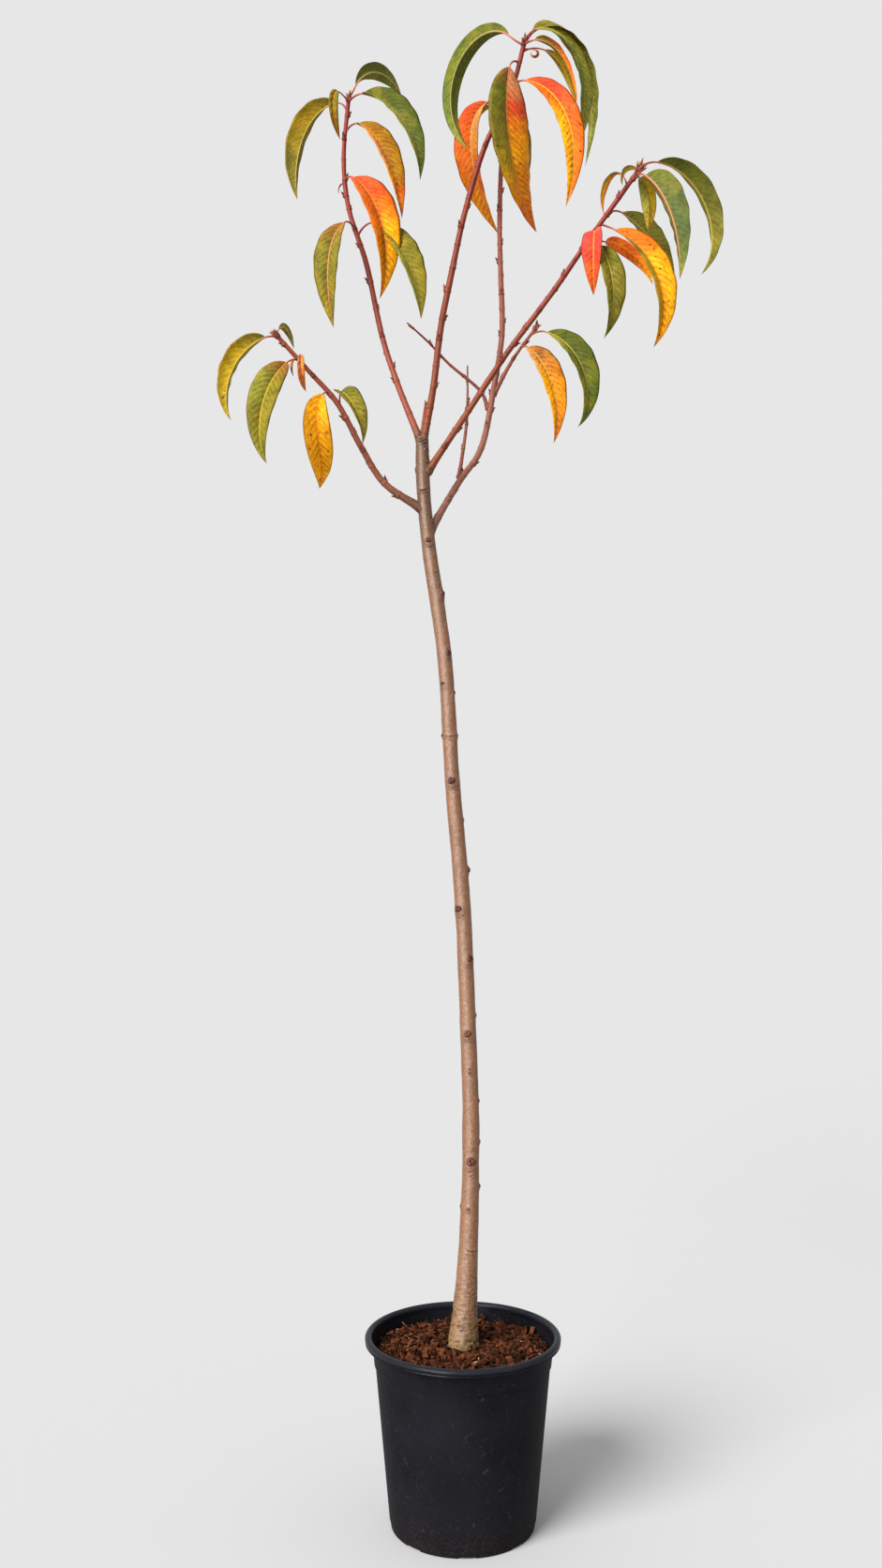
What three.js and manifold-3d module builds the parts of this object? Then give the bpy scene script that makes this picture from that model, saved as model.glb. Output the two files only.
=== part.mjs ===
// A dwarf peach tree in its nursery pot, in millimetres with +Z up.
// The origin is the centre of the pot's flat underside. +X is to the right of the front
// view, and -Y is towards the viewer.
//
// The pot and the compost are turned shapes. The trunk, boughs and bare twigs are tapering
// limbs, each cut clear of the ones it springs from. Every spray of leaves is a shoot that
// carries on from its bough, with its leaves and buds fused to it.

import * as THREE from 'three';
import Module from 'manifold-3d';
import { mergeVertices } from 'three/addons/utils/BufferGeometryUtils.js';

const wasm = await Module();
wasm.setup();

// Clearance between pieces that meet.
const GAP = 0.3;

// Pot: a tapered tub with a rolled lip, a stepped band under it and a recessed foot.
const POT = {
  height: 213,
  lipRadius: 110,
  lipWidth: 8,
  lipHeight: 8.5,
  baseRadius: 81.5,
  flare: 0.092, // growth of the radius for each millimetre of height
  bandHeight: 181, // height of the stacking step
  step: 1.2,
  footHeight: 9,
  footStep: 0.7,
  wall: 1.8,
  floor: 3,
  edge: 2, // rounding of the bottom edge
  sides: 40,
};
const NOTCH = { count: 8, width: 20, height: 2.2, depth: 9, firstAngle: -88 };
const DRAIN = { radius: 5, fromAxis: 60, sides: 8 };

// Compost: level round the trunk's foot and lower at the pot's wall.
const COMPOST = { top: 198, levelRadius: 45, edgeTop: 196 };

// Limbs. points: where the limb's centre line passes, from its foot to its tip. foot and
// tip: its radius at each end. flare and spread: how much wider it is right at its foot,
// and over what length that fades. to: the share of the line that is solid bough, where
// the rest is the stem of a spray.
const LIMBS = {
  trunk: {
    points: [
      [-1, 0, 186], [7, 4, 325], [9, 6, 453], [5, 8, 581], [-1, 8, 709],
      [-12, 6, 837], [-20, 3, 966], [-38, 1, 1095], [-44, 0, 1155], [-46, 0, 1220],
    ],
    foot: 9.9, tip: 7.4, flare: 10, spread: 50, sides: 16, step: 30, colour: 0x8f6b54,
  },
  rear_bough: {
    points: [
      [-38, 2, 1113], [-5, 26, 1173], [22, 46, 1218], [37, 63, 1291], [47, 75, 1359],
      [46, 86, 1428], [45, 96, 1495], [47, 106, 1564], [51, 114, 1632],
    ],
    foot: 4.0, tip: 2.2, flare: 2.4, spread: 14, to: 0.85, colour: 0x7a5346,
  },
  low_left_bough: {
    points: [
      [-46, 0, 1139], [-88, -9, 1166], [-114, -23, 1205], [-139, -37, 1249],
      [-171, -48, 1283], [-206, -64, 1319],
    ],
    foot: 4.2, tip: 1.9, flare: 1.8, spread: 14, to: 0.55, colour: 0x9a5247,
  },
  right_bough: {
    points: [
      [-39, -2, 1181], [5, -19, 1243], [48, -39, 1303], [96, -57, 1363], [141, -79, 1423],
      [187, -98, 1483],
    ],
    foot: 3.8, tip: 2.1, flare: 1.2, spread: 14, to: 0.68, colour: 0x9c4f38,
  },
  upper_left_bough: {
    points: [
      [-48, 2, 1216], [-73, 15, 1281], [-92, 28, 1342], [-110, 38, 1426], [-131, 46, 1494],
      [-137, 49, 1554], [-131, 52, 1628],
    ],
    foot: 3.8, tip: 2.0, flare: 1.0, spread: 14, to: 0.5, colour: 0x96503f,
  },
  centre_bough: {
    points: [
      [-45, -1, 1211], [-33, -8, 1274], [-25, -13, 1337], [-12, -23, 1400], [2, -34, 1460],
      [23, -45, 1526], [52, -53, 1585], [67, -59, 1639],
    ],
    foot: 4.2, tip: 2.1, flare: 0.8, spread: 14, to: 0.62, colour: 0x8c3f2e,
  },
  fork_stub: {
    points: [[-47, 4, 1216], [-42, 12, 1264]],
    foot: 2.8, tip: 0.5, flare: 0, spread: 10, colour: 0x84614f,
  },
  upright_twig: {
    points: [[-4, 29, 1180], [5, 37, 1247], [6, 46, 1313]],
    foot: 1.9, tip: 0.5, flare: 0.6, spread: 8, colour: 0x7d4f45,
  },
  crossing_twig: {
    points: [[30, 58, 1266], [20, 63, 1289], [-15, 60, 1318], [-39, 52, 1341], [-64, 42, 1361]],
    foot: 1.8, tip: 0.5, flare: 0.6, spread: 8, colour: 0x7d4f45,
  },
  side_twig: {
    points: [[37, 63, 1283], [59, 58, 1323], [87, 46, 1359]],
    foot: 2.0, tip: 1.2, flare: 0.6, spread: 8, to: 0, colour: 0x7d4f45,
  },
};
const LIMB_SIDES = 8;
const LIMB_STEP = 16;

// Leaves. at: the leaf's place along its whole limb. heading: its compass bearing, from +X
// towards +Y. lift: the slope at which its stalk leaves the shoot. rise and fall: the
// blade's slope at its base and at its tip. sweep: how far the bearing turns by the tip.
// roll and twist: the blade's turn about its midrib, at the base and further by the tip.
// fold: how far each half is folded up from flat. curl: how soon the blade starts to droop.
const SPRAYS = {
  low_left_spray: {
    limb: 'low_left_bough', colour: 0x9a8a2c,
    leaves: [
      { at: 0.98, heading: 65, stalk: 8, lift: 70, length: 44, width: 9, rise: 55, fall: -70,
        roll: -55, sweep: 0, fold: 25, curl: 1.5 },
      { at: 0.97, heading: 230, stalk: 20, lift: 0, length: 118, width: 30, rise: -25, fall: -120,
        roll: 60, sweep: -35, fold: 30, curl: 0.75 },
      { at: 0.85, heading: 240, stalk: 24, lift: -5, length: 132, width: 35, rise: -35, fall: -125,
        roll: -35, sweep: -20, fold: 25, curl: 0.75 },
      { at: 0.82, heading: 270, stalk: 28, lift: 25, length: 52, width: 9, rise: -10, fall: -155,
        roll: -25, sweep: -15, fold: 25, curl: 2 },
      { at: 0.66, heading: -120, stalk: 12, lift: -10, length: 126, width: 32, rise: -35, fall: -150,
        roll: -15, sweep: 45, fold: 20, curl: 2.25 },
      { at: 0.58, heading: -85, stalk: 24, lift: 40, length: 102, width: 27, rise: 0, fall: -95,
        roll: 15, sweep: 65, fold: 30, curl: 1 },
    ],
  },
  upper_left_spray: {
    limb: 'upper_left_bough', colour: 0x8d7d2b,
    leaves: [
      { at: 0.99, heading: 40, stalk: 20, lift: 55, length: 112, width: 22, rise: 65, fall: -10,
        roll: -55, sweep: 35, fold: 25, curl: 2 },
      { at: 0.98, heading: 250, stalk: 28, lift: 10, length: 68, width: 12, rise: -10, fall: -140,
        roll: -35, sweep: 0, fold: 25, curl: 1.75 },
      { at: 0.98, heading: -50, stalk: 28, lift: 20, length: 154, width: 37, rise: -20, fall: -90,
        roll: 35, sweep: 40, fold: 35, curl: 1 },
      { at: 0.95, heading: 140, stalk: 24, lift: 80, length: 142, width: 37, rise: 15, fall: -100,
        roll: 0, sweep: -5, fold: 35, curl: 1.5 },
      { at: 0.9, heading: -55, stalk: 28, lift: 30, length: 154, width: 34, rise: -25, fall: -80,
        roll: 20, sweep: 30, fold: 30, curl: 1.75 },
      { at: 0.76, heading: -60, stalk: 22, lift: 10, length: 178, width: 45, rise: -30, fall: -110,
        roll: 15, sweep: 30, fold: 25, curl: 1 },
      { at: 0.59, heading: 240, stalk: 28, lift: 55, length: 138, width: 34, rise: -35, fall: -110,
        roll: -5, sweep: 0, fold: 20, curl: 1.5 },
      { at: 0.58, heading: -50, stalk: 42, lift: 45, length: 148, width: 38, rise: -35, fall: -85,
        roll: 15, sweep: 10, fold: 30, curl: 1 },
    ],
  },
  centre_spray: {
    limb: 'centre_bough', colour: 0x8a7a30,
    leaves: [
      { at: 0.99, heading: 30, stalk: 20, lift: 65, length: 168, width: 37, rise: 40, fall: -100,
        roll: 55, sweep: -10, fold: 10, curl: 2.5 },
      { at: 0.99, heading: 40, stalk: 18, lift: 45, length: 210, width: 36, rise: 50, fall: -105,
        roll: 20, sweep: 0, fold: 5, curl: 2 },
      { at: 0.98, heading: 140, stalk: 26, lift: 35, length: 196, width: 27, rise: 45, fall: -130,
        roll: 45, sweep: -5, fold: 40, curl: 1.5 },
      { at: 0.98, heading: -50, stalk: 18, lift: 10, length: 106, width: 19, rise: -15, fall: -80,
        roll: -30, sweep: 35, fold: 5, curl: 1.75 },
      { at: 0.96, heading: 35, stalk: 34, lift: 40, length: 74, width: 11, rise: 0, fall: -70,
        roll: -30, sweep: 10, fold: 25, curl: 1.75 },
      { at: 0.93, heading: -135, stalk: 20, lift: 15, length: 188, width: 58, rise: -75, fall: -165,
        roll: -70, sweep: 20, fold: 5, curl: 0.75, twist: -20 },
      { at: 0.87, heading: -35, stalk: 16, lift: 30, length: 172, width: 30, rise: -20, fall: -105,
        roll: 55, sweep: 15, fold: 25, curl: 1.5 },
    ],
  },
  rear_spray: {
    limb: 'rear_bough', colour: 0xc0662a,
    leaves: [
      { at: 1, heading: 225, stalk: 28, lift: 55, length: 180, width: 40, rise: -25, fall: -130,
        roll: -20, sweep: 0, fold: 30, curl: 2, twist: 30 },
      { at: 1, heading: 130, stalk: 18, lift: 65, length: 148, width: 33, rise: 30, fall: -120,
        roll: -25, sweep: -30, fold: 25, curl: 1.5 },
      { at: 1, heading: 85, stalk: 10, lift: 45, length: 144, width: 32, rise: 30, fall: -90,
        roll: -15, sweep: -30, fold: 25, curl: 1.5 },
      { at: 0.97, heading: 60, stalk: 18, lift: 25, length: 122, width: 28, rise: 30, fall: -95,
        roll: -20, sweep: 40, fold: 25, curl: 1.5 },
    ],
  },
  side_spray: {
    limb: 'side_twig', colour: 0x91802b,
    leaves: [
      { at: 0.86, heading: -45, stalk: 26, lift: 15, length: 140, width: 37, rise: -25, fall: -130,
        roll: 35, sweep: 30, fold: 30, curl: 0.75 },
      { at: 0.67, heading: -65, stalk: 18, lift: 5, length: 140, width: 34, rise: -30, fall: -105,
        roll: 20, sweep: 30, fold: 30, curl: 1 },
    ],
  },
  right_spray: {
    limb: 'right_bough', colour: 0x8c8430,
    leaves: [
      { at: 1, heading: 35, stalk: 26, lift: 40, length: 164, width: 33, rise: 10, fall: -130,
        roll: -5, sweep: -10, fold: 35, curl: 1 },
      { at: 0.98, heading: -75, stalk: 28, lift: -20, length: 154, width: 41, rise: -30, fall: -95,
        roll: -85, sweep: 25, fold: 30, curl: 1 },
      { at: 0.95, heading: 55, stalk: 28, lift: 55, length: 66, width: 18, rise: 5, fall: -110,
        roll: -25, sweep: 10, fold: 20, curl: 1.75 },
      { at: 0.94, heading: 120, stalk: 18, lift: 75, length: 62, width: 10, rise: 45, fall: -100,
        roll: -5, sweep: 15, fold: 20, curl: 1.75 },
      { at: 0.85, heading: 50, stalk: 32, lift: 40, length: 126, width: 30, rise: 0, fall: -30,
        roll: 0, sweep: 5, fold: 30, curl: 1.5 },
      { at: 0.82, heading: -15, stalk: 18, lift: -20, length: 148, width: 40, rise: -30, fall: -115,
        roll: 50, sweep: 15, fold: 30, curl: 1 },
      { at: 0.8, heading: 55, stalk: 24, lift: -50, length: 86, width: 17, rise: 20, fall: -75,
        roll: -55, sweep: -55, fold: 25, curl: 1 },
      { at: 0.8, heading: -100, stalk: 6, lift: -25, length: 92, width: 26, rise: -20, fall: -130,
        roll: 20, sweep: 5, fold: 25, curl: 1 },
      { at: 0.8, heading: -75, stalk: 28, lift: -60, length: 112, width: 29, rise: -45, fall: -120,
        roll: 15, sweep: 45, fold: 25, curl: 1 },
    ],
  },
};
const BLADE = {
  steps: 24, // steps along the midrib, of which every third carries a section
  sectionEvery: 3,
  baseShape: 0.75, // powers of the outline towards the base and towards the tip
  tipShape: 1.1,
  thickness: 0.011, // share of the blade's length
  leastThickness: 1,
  tipWidth: 0.7,
};
const STALK = { steps: 6, sectionEvery: 3, radius: 1.2 };

// Bare buds along each shoot: one every few millimetres, each turned on from the last, with
// a cluster of larger ones round the shoot's tip.
const BUD = { spacing: 24, turn: 137.5, length: 5, radius: 1.5, sink: 1, lean: 35, seed: 7 };
const TIP_BUD = { count: 4, size: 1.7, from: 4 };

const radians = THREE.MathUtils.degToRad;

// A repeatable run of numbers between 0 and 1.
function dice(seed) {
  let state = seed;
  return () => {
    state = (state * 16807) % 2147483647;
    return state / 2147483647;
  };
}

// A closed skin over a row of rings, each with its points in the same order, counted
// anticlockwise when seen from the row's far end.
function loft(rings) {
  const sides = rings[0].length;
  const last = (rings.length - 1) * sides;
  const index = [];
  for (let ring = 0; ring < last; ring += sides) {
    for (let side = 0; side < sides; side += 1) {
      const a = ring + side;
      const b = ring + ((side + 1) % sides);
      index.push(a, b, b + sides, a, b + sides, a + sides);
    }
  }
  for (let side = 1; side + 1 < sides; side += 1) {
    index.push(0, side + 1, side, last, last + side, last + side + 1);
  }
  const geometry = new THREE.BufferGeometry().setFromPoints(rings.flat());
  geometry.setIndex(index);
  return geometry;
}

// manifold-3d solid of a closed geometry.
function toSolid(geometry) {
  const bare = geometry.clone();
  bare.deleteAttribute('normal');
  bare.deleteAttribute('uv');
  const merged = mergeVertices(bare, 1e-4);
  const corners = merged.index.array;
  const triangles = [];
  for (let i = 0; i < corners.length; i += 3) {
    const [a, b, c] = corners.slice(i, i + 3);
    if (a !== b && b !== c && c !== a) triangles.push(a, b, c);
  }
  return new wasm.Manifold(new wasm.Mesh({
    numProp: 3,
    vertProperties: Float32Array.from(merged.attributes.position.array),
    triVerts: Uint32Array.from(triangles),
  }));
}

function toGeometry(solid) {
  const mesh = solid.getMesh();
  const geometry = new THREE.BufferGeometry();
  geometry.setAttribute('position', new THREE.BufferAttribute(mesh.vertProperties, 3));
  geometry.setIndex(new THREE.BufferAttribute(mesh.triVerts, 1));
  return geometry;
}

// The largest of a solid's separate bodies: scraps left by a cut are dropped.
function largestBody(solid) {
  return solid.decompose().reduce((best, body) => (body.volume() > best.volume() ? body : best));
}

// ---- Limbs ----

function centreLine(limb) {
  const points = limb.points.map((point) => new THREE.Vector3(...point));
  return new THREE.CatmullRomCurve3(points, false, 'catmullrom', 0.5);
}

function limbRadius(limb, line, t) {
  const fromFoot = line.getLength() * t;
  const flare = limb.flare * Math.exp(-fromFoot / limb.spread);
  return THREE.MathUtils.lerp(limb.foot, limb.tip, t) + flare;
}

// Two directions square to a limb's own, the first of them level.
function crossDirections(along) {
  const across = new THREE.Vector3(0, 1, 0).cross(along).normalize();
  return [across, along.clone().cross(across)];
}

// The limb between two shares of its centre line, made wider and longer by grow.
function limbSolid(limb, from, to, grow = 0) {
  const line = centreLine(limb);
  const sides = limb.sides ?? LIMB_SIDES;
  const steps = Math.max(3, Math.ceil((line.getLength() * (to - from)) / (limb.step ?? LIMB_STEP)));
  const rings = [];
  for (let i = 0; i <= steps; i += 1) {
    const t = THREE.MathUtils.lerp(from, to, i / steps);
    const along = line.getTangent(t);
    const [across, over] = crossDirections(along);
    const radius = limbRadius(limb, line, t) + grow;
    const centre = line.getPoint(t);
    if (i === 0) centre.addScaledVector(along, -grow);
    if (i === steps) centre.addScaledVector(along, grow);
    const ring = [];
    for (let side = 0; side < sides; side += 1) {
      const angle = (2 * Math.PI * side) / sides;
      ring.push(centre.clone()
        .addScaledVector(across, radius * Math.cos(angle))
        .addScaledVector(over, radius * Math.sin(angle)));
    }
    rings.push(ring);
  }
  return toSolid(loft(rings));
}

// ---- Leaves ----

function direction(heading, slope) {
  return new THREE.Vector3(
    Math.cos(heading) * Math.cos(slope),
    Math.sin(heading) * Math.cos(slope),
    Math.sin(slope),
  );
}

// Half-width of the blade at a share s of its length, as a share of its widest.
function outline(s) {
  const peak = BLADE.baseShape / (BLADE.baseShape + BLADE.tipShape);
  const shape = (x) => x ** BLADE.baseShape * (1 - x) ** BLADE.tipShape;
  return shape(s) / shape(peak);
}

// The leaf's direction, face and right-hand edge at a share s of the blade.
function bladeFrame(leaf, s) {
  const slope = radians(THREE.MathUtils.lerp(leaf.rise, leaf.fall, 1 - (1 - s) ** leaf.curl));
  const heading = radians(leaf.heading + leaf.sweep * s);
  const roll = radians(leaf.roll + (leaf.twist ?? 0) * s);
  const along = direction(heading, slope);
  const face = direction(heading, slope + Math.PI / 2).applyAxisAngle(along, roll);
  return { along, face, edge: along.clone().cross(face) };
}

// A six-sided section: two halves folded up from the midrib.
function section(centre, frame, halfWidth, fold, thickness, edgeThickness) {
  const offset = (side, up) => centre.clone()
    .addScaledVector(frame.edge, side * halfWidth * Math.cos(fold))
    .addScaledVector(frame.face, Math.abs(side) * halfWidth * Math.sin(fold) + up);
  return [
    offset(0, thickness / 2),
    offset(1, edgeThickness / 2),
    offset(1, -edgeThickness / 2),
    offset(0, -thickness / 2),
    offset(-1, -edgeThickness / 2),
    offset(-1, edgeThickness / 2),
  ];
}

// A leaf with its stalk, from the middle of its shoot.
function leafSolid(leaf, start) {
  const rings = [];
  const point = start.clone();
  const stalkRing = (slope) => {
    const along = direction(radians(leaf.heading), radians(slope));
    const face = direction(radians(leaf.heading), radians(slope + 90));
    const frame = { along, face, edge: along.clone().cross(face) };
    rings.push(section(point, frame, STALK.radius, 0, 2 * STALK.radius, STALK.radius));
  };
  stalkRing(leaf.lift);
  for (let i = 0; i < STALK.steps; i += 1) {
    const slope = THREE.MathUtils.lerp(leaf.lift, leaf.rise, (i + 0.5) / STALK.steps);
    point.addScaledVector(direction(radians(leaf.heading), radians(slope)), leaf.stalk / STALK.steps);
    if ((i + 1) % STALK.sectionEvery === 0) {
      stalkRing(THREE.MathUtils.lerp(leaf.lift, leaf.rise, (i + 1) / STALK.steps));
    }
  }
  const thickness = Math.max(leaf.length * BLADE.thickness, BLADE.leastThickness);
  for (let i = 0; i < BLADE.steps; i += 1) {
    point.addScaledVector(bladeFrame(leaf, (i + 0.5) / BLADE.steps).along, leaf.length / BLADE.steps);
    const s = (i + 1) / BLADE.steps;
    if (i === 0 || (i + 1) % BLADE.sectionEvery === 0) {
      const halfWidth = Math.max((leaf.width / 2) * outline(s), BLADE.tipWidth);
      rings.push(section(point, bladeFrame(leaf, s), halfWidth, radians(leaf.fold), thickness, thickness));
    }
  }
  return toSolid(loft(rings));
}

// ---- Buds ----

function budSolid(limb, line, t, turn, size) {
  const along = line.getTangent(t);
  const [across, over] = crossDirections(along);
  const outward = across.multiplyScalar(Math.cos(turn)).addScaledVector(over, Math.sin(turn));
  const lean = radians(BUD.lean);
  const axis = outward.clone().multiplyScalar(Math.sin(lean)).addScaledVector(along, Math.cos(lean));
  const cone = new THREE.ConeGeometry(BUD.radius * size, BUD.length * size, 4, 1);
  cone.applyQuaternion(new THREE.Quaternion().setFromUnitVectors(new THREE.Vector3(0, 1, 0), axis));
  const root = limbRadius(limb, line, t) - BUD.sink;
  const centre = line.getPoint(t)
    .addScaledVector(outward, root)
    .addScaledVector(axis, (BUD.length * size) / 2);
  cone.translate(centre.x, centre.y, centre.z);
  return toSolid(cone);
}

// ---- Sprays ----

function spraySolid(spray, roll) {
  const limb = LIMBS[spray.limb];
  const line = centreLine(limb);
  const from = limb.to > 0 ? limb.to + GAP / line.getLength() : 0;
  let solid = limbSolid(limb, from, 1);
  for (const leaf of spray.leaves) {
    solid = solid.add(leafSolid(leaf, line.getPoint(leaf.at)));
  }
  const share = BUD.spacing / line.getLength();
  let turn = 0;
  for (let t = from + share; t < 1; t += share * (0.7 + 0.6 * roll())) {
    turn += radians(BUD.turn);
    solid = solid.add(budSolid(limb, line, t, turn, 0.7 + 0.5 * roll()));
  }
  for (let i = 0; i < TIP_BUD.count; i += 1) {
    const t = 1 - (TIP_BUD.from * roll()) / line.getLength();
    turn += (2 * Math.PI) / TIP_BUD.count;
    solid = solid.add(budSolid(limb, line, t, turn, TIP_BUD.size));
  }
  return solid;
}

// ---- Pot and compost ----

// Radii of the pot's wall at a height: outside, on the upper side of each step, and inside.
function wallRadius(z) {
  const foot = z < POT.footHeight ? POT.footStep : 0;
  const band = z >= POT.bandHeight ? POT.step : 0;
  return POT.baseRadius + POT.flare * z - foot + band;
}

function innerRadius(z) {
  const band = z >= POT.bandHeight ? POT.step : 0;
  return POT.baseRadius + POT.flare * z - POT.footStep + band - POT.wall;
}

function turned(profile) {
  return new THREE.LatheGeometry(profile.map(([r, z]) => new THREE.Vector2(r, z)), POT.sides)
    .rotateX(Math.PI / 2);
}

function potSolid() {
  const { height, lipRadius, lipWidth, lipHeight, bandHeight, footHeight, floor, edge } = POT;
  const lipFoot = height - lipHeight;
  const below = (z) => wallRadius(z - 0.01);
  let solid = toSolid(turned([
    [0, 0],
    [wallRadius(0) - edge, 0],
    [wallRadius(edge), edge],
    [below(footHeight), footHeight - POT.footStep],
    [wallRadius(footHeight), footHeight],
    [below(bandHeight), bandHeight - POT.step],
    [wallRadius(bandHeight), bandHeight],
    [wallRadius(lipFoot), lipFoot],
    [lipRadius - edge, lipFoot],
    [lipRadius, lipFoot + edge],
    [lipRadius, height - edge],
    [lipRadius - edge, height],
    [lipRadius - lipWidth + edge, height],
    [lipRadius - lipWidth, height - edge],
    [innerRadius(bandHeight), bandHeight],
    [innerRadius(bandHeight - POT.step), bandHeight - POT.step],
    [innerRadius(floor), floor],
    [0, floor],
  ]));
  const reach = POT.baseRadius - NOTCH.depth;
  for (let i = 0; i < NOTCH.count; i += 1) {
    const angle = radians(NOTCH.firstAngle) + (2 * Math.PI * i) / NOTCH.count;
    const notch = new THREE.BoxGeometry(2 * NOTCH.depth, NOTCH.width, 2 * NOTCH.height)
      .translate(reach + NOTCH.depth, 0, 0)
      .rotateZ(angle);
    const drain = new THREE.CylinderGeometry(DRAIN.radius, DRAIN.radius, 4 * floor, DRAIN.sides)
      .rotateX(Math.PI / 2)
      .translate(DRAIN.fromAxis, 0, 0)
      .rotateZ(angle);
    solid = solid.subtract(toSolid(notch)).subtract(toSolid(drain));
  }
  return solid;
}

function compostSolid() {
  const bottom = POT.floor + GAP;
  const underBand = POT.bandHeight - POT.step;
  return toSolid(turned([
    [0, bottom],
    [innerRadius(bottom) - GAP, bottom],
    [innerRadius(underBand) - GAP, underBand],
    [innerRadius(COMPOST.edgeTop) - GAP, COMPOST.edgeTop],
    [COMPOST.levelRadius, COMPOST.top],
    [0, COMPOST.top],
  ]));
}

// ---- Assembly ----

const group = new THREE.Group();

function place(name, solid, colour, roughness) {
  const material = new THREE.MeshStandardMaterial({ color: colour, roughness, metalness: 0 });
  const mesh = new THREE.Mesh(toGeometry(solid), material);
  mesh.name = name;
  group.add(mesh);
}

place('pot', potSolid(), 0x1c1d22, 0.5);
place('compost', compostSolid(), 0x3d2217, 0.95);

// Everything below the compost's surface, which gives the trunk its flat foot.
const ground = toSolid(new THREE.BoxGeometry(POT.lipRadius, POT.lipRadius, COMPOST.top)
  .translate(0, 0, COMPOST.top / 2 + GAP));
const grownLimbs = [ground];
for (const [name, limb] of Object.entries(LIMBS)) {
  const to = limb.to ?? 1;
  if (to === 0) continue;
  const cut = grownLimbs.reduce((solid, other) => solid.subtract(other), limbSolid(limb, 0, to));
  place(name, largestBody(cut), limb.colour, 0.7);
  grownLimbs.push(limbSolid(limb, 0, to, GAP));
}

const roll = dice(BUD.seed);
for (const [name, spray] of Object.entries(SPRAYS)) {
  const own = spraySolid(spray, roll);
  const clear = LIMBS[spray.limb].to === 0
    ? grownLimbs.reduce((solid, other) => solid.subtract(other), own)
    : own;
  place(name, largestBody(clear), spray.colour, 0.55);
}

export default group;
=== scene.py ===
"""A dwarf peach tree in autumn leaf, in its nursery pot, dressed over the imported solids.

Lengths in the tables are millimetres and angles are degrees, in the frame of the solids:
+Z is up, -Y is towards the viewer, and the pot stands on the origin.
"""
import math

import bpy
import numpy as np
from bpy.props import FloatProperty, FloatVectorProperty, IntProperty, PointerProperty
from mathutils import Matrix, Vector, noise


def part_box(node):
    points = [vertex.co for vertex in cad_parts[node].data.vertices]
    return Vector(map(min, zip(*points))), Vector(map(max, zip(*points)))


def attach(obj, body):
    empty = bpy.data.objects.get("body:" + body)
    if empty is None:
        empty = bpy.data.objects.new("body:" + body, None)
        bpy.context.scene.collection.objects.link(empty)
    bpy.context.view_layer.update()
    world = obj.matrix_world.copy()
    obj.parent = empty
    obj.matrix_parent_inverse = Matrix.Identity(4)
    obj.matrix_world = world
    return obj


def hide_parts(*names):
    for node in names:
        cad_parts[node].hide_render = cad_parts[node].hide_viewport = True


bl_info = {
    "name": "Potted dwarf peach tree",
    "version": (1, 0, 0),
    "blender": (4, 5, 0),
    "location": "View3D > Sidebar > Peach tree",
    "description": "Builds a dwarf peach tree in autumn leaf, with its pot and a plain studio",
    "category": "Add Mesh",
}

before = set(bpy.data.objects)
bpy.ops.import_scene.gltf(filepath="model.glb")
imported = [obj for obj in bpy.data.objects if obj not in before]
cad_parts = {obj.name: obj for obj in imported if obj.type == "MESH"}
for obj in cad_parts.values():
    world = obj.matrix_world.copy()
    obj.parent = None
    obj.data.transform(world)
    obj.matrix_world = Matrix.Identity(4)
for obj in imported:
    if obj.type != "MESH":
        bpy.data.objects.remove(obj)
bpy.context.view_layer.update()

MM = 0.001
TURN = 2 * math.pi


# ---- Limbs ----


class Line:
    """A smooth line through points, read at shares 0 to 1 of its run."""

    def __init__(self, points):
        rows = np.array(points, float)
        self.spans = len(rows) - 1
        self.rows = np.vstack([2 * rows[0] - rows[1], rows, 2 * rows[-1] - rows[-2]])
        steps = self.at(np.linspace(0, 1, 201))
        self.length = float(np.linalg.norm(np.diff(steps, axis=0), axis=1).sum())

    def at(self, share):
        """The points at shares of the line's run."""
        place = np.clip(share, 0, 1) * self.spans
        first = np.minimum(place.astype(int), self.spans - 1)
        w = (place - first)[..., None]
        before, here, there, after = (self.rows[first + k] for k in range(4))
        leave, arrive = (there - before) / 2, (after - here) / 2
        return (
            (2 * here - 2 * there + leave + arrive) * w**3
            + (3 * there - 3 * here - 2 * leave - arrive) * w**2
            + leave * w
            + here
        )

    def share_at(self, height):
        """The share of an upright line's run that lies at a height."""
        shares = np.linspace(0, 1, 2001)
        return np.interp(height, self.at(shares)[:, 2], shares)

    def along(self, share):
        """The line's direction at shares of its run."""
        share = np.asarray(share, float)
        return unit(self.at(np.minimum(share + 1e-4, 1)) - self.at(np.maximum(share - 1e-4, 0)))


class Limb(Line):
    """A tapering limb. to is the share of its line that is bough; the rest bears leaves.

    foot and tip are its radii there, without the flare, which fades over the spread.
    old and young are the names of its bark colours at foot and tip, and seasoned is how
    many millimetres from its foot the bark is grey and old.
    """

    def __init__(self, points, foot, tip, flare=0, spread=10, to=1, old="tan", young="red",
                 seasoned=0):
        super().__init__(points)
        self.foot, self.tip, self.flare, self.spread, self.to = foot, tip, flare, spread, to
        self.old, self.young, self.seasoned = old, young, seasoned

    def radius(self, share):
        """The limb's radius, without its bark's relief."""
        flare = self.flare * np.exp(-self.length * share / self.spread)
        return self.foot + (self.tip - self.foot) * share + flare

    def cross(self, share):
        """Two directions square to the limb, the first of them level."""
        along = self.along(share)
        across = unit(np.cross([0.0, 1.0, 0.0], along))
        return across, np.cross(along, across)


def unit(rows):
    """Directions made 1 long."""
    return rows / np.linalg.norm(rows, axis=-1, keepdims=True)


def spoke(across, over, turn):
    """The direction at each turn round a line, from two directions square to it."""
    return across * np.cos(turn)[:, None] + over * np.sin(turn)[:, None]


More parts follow.
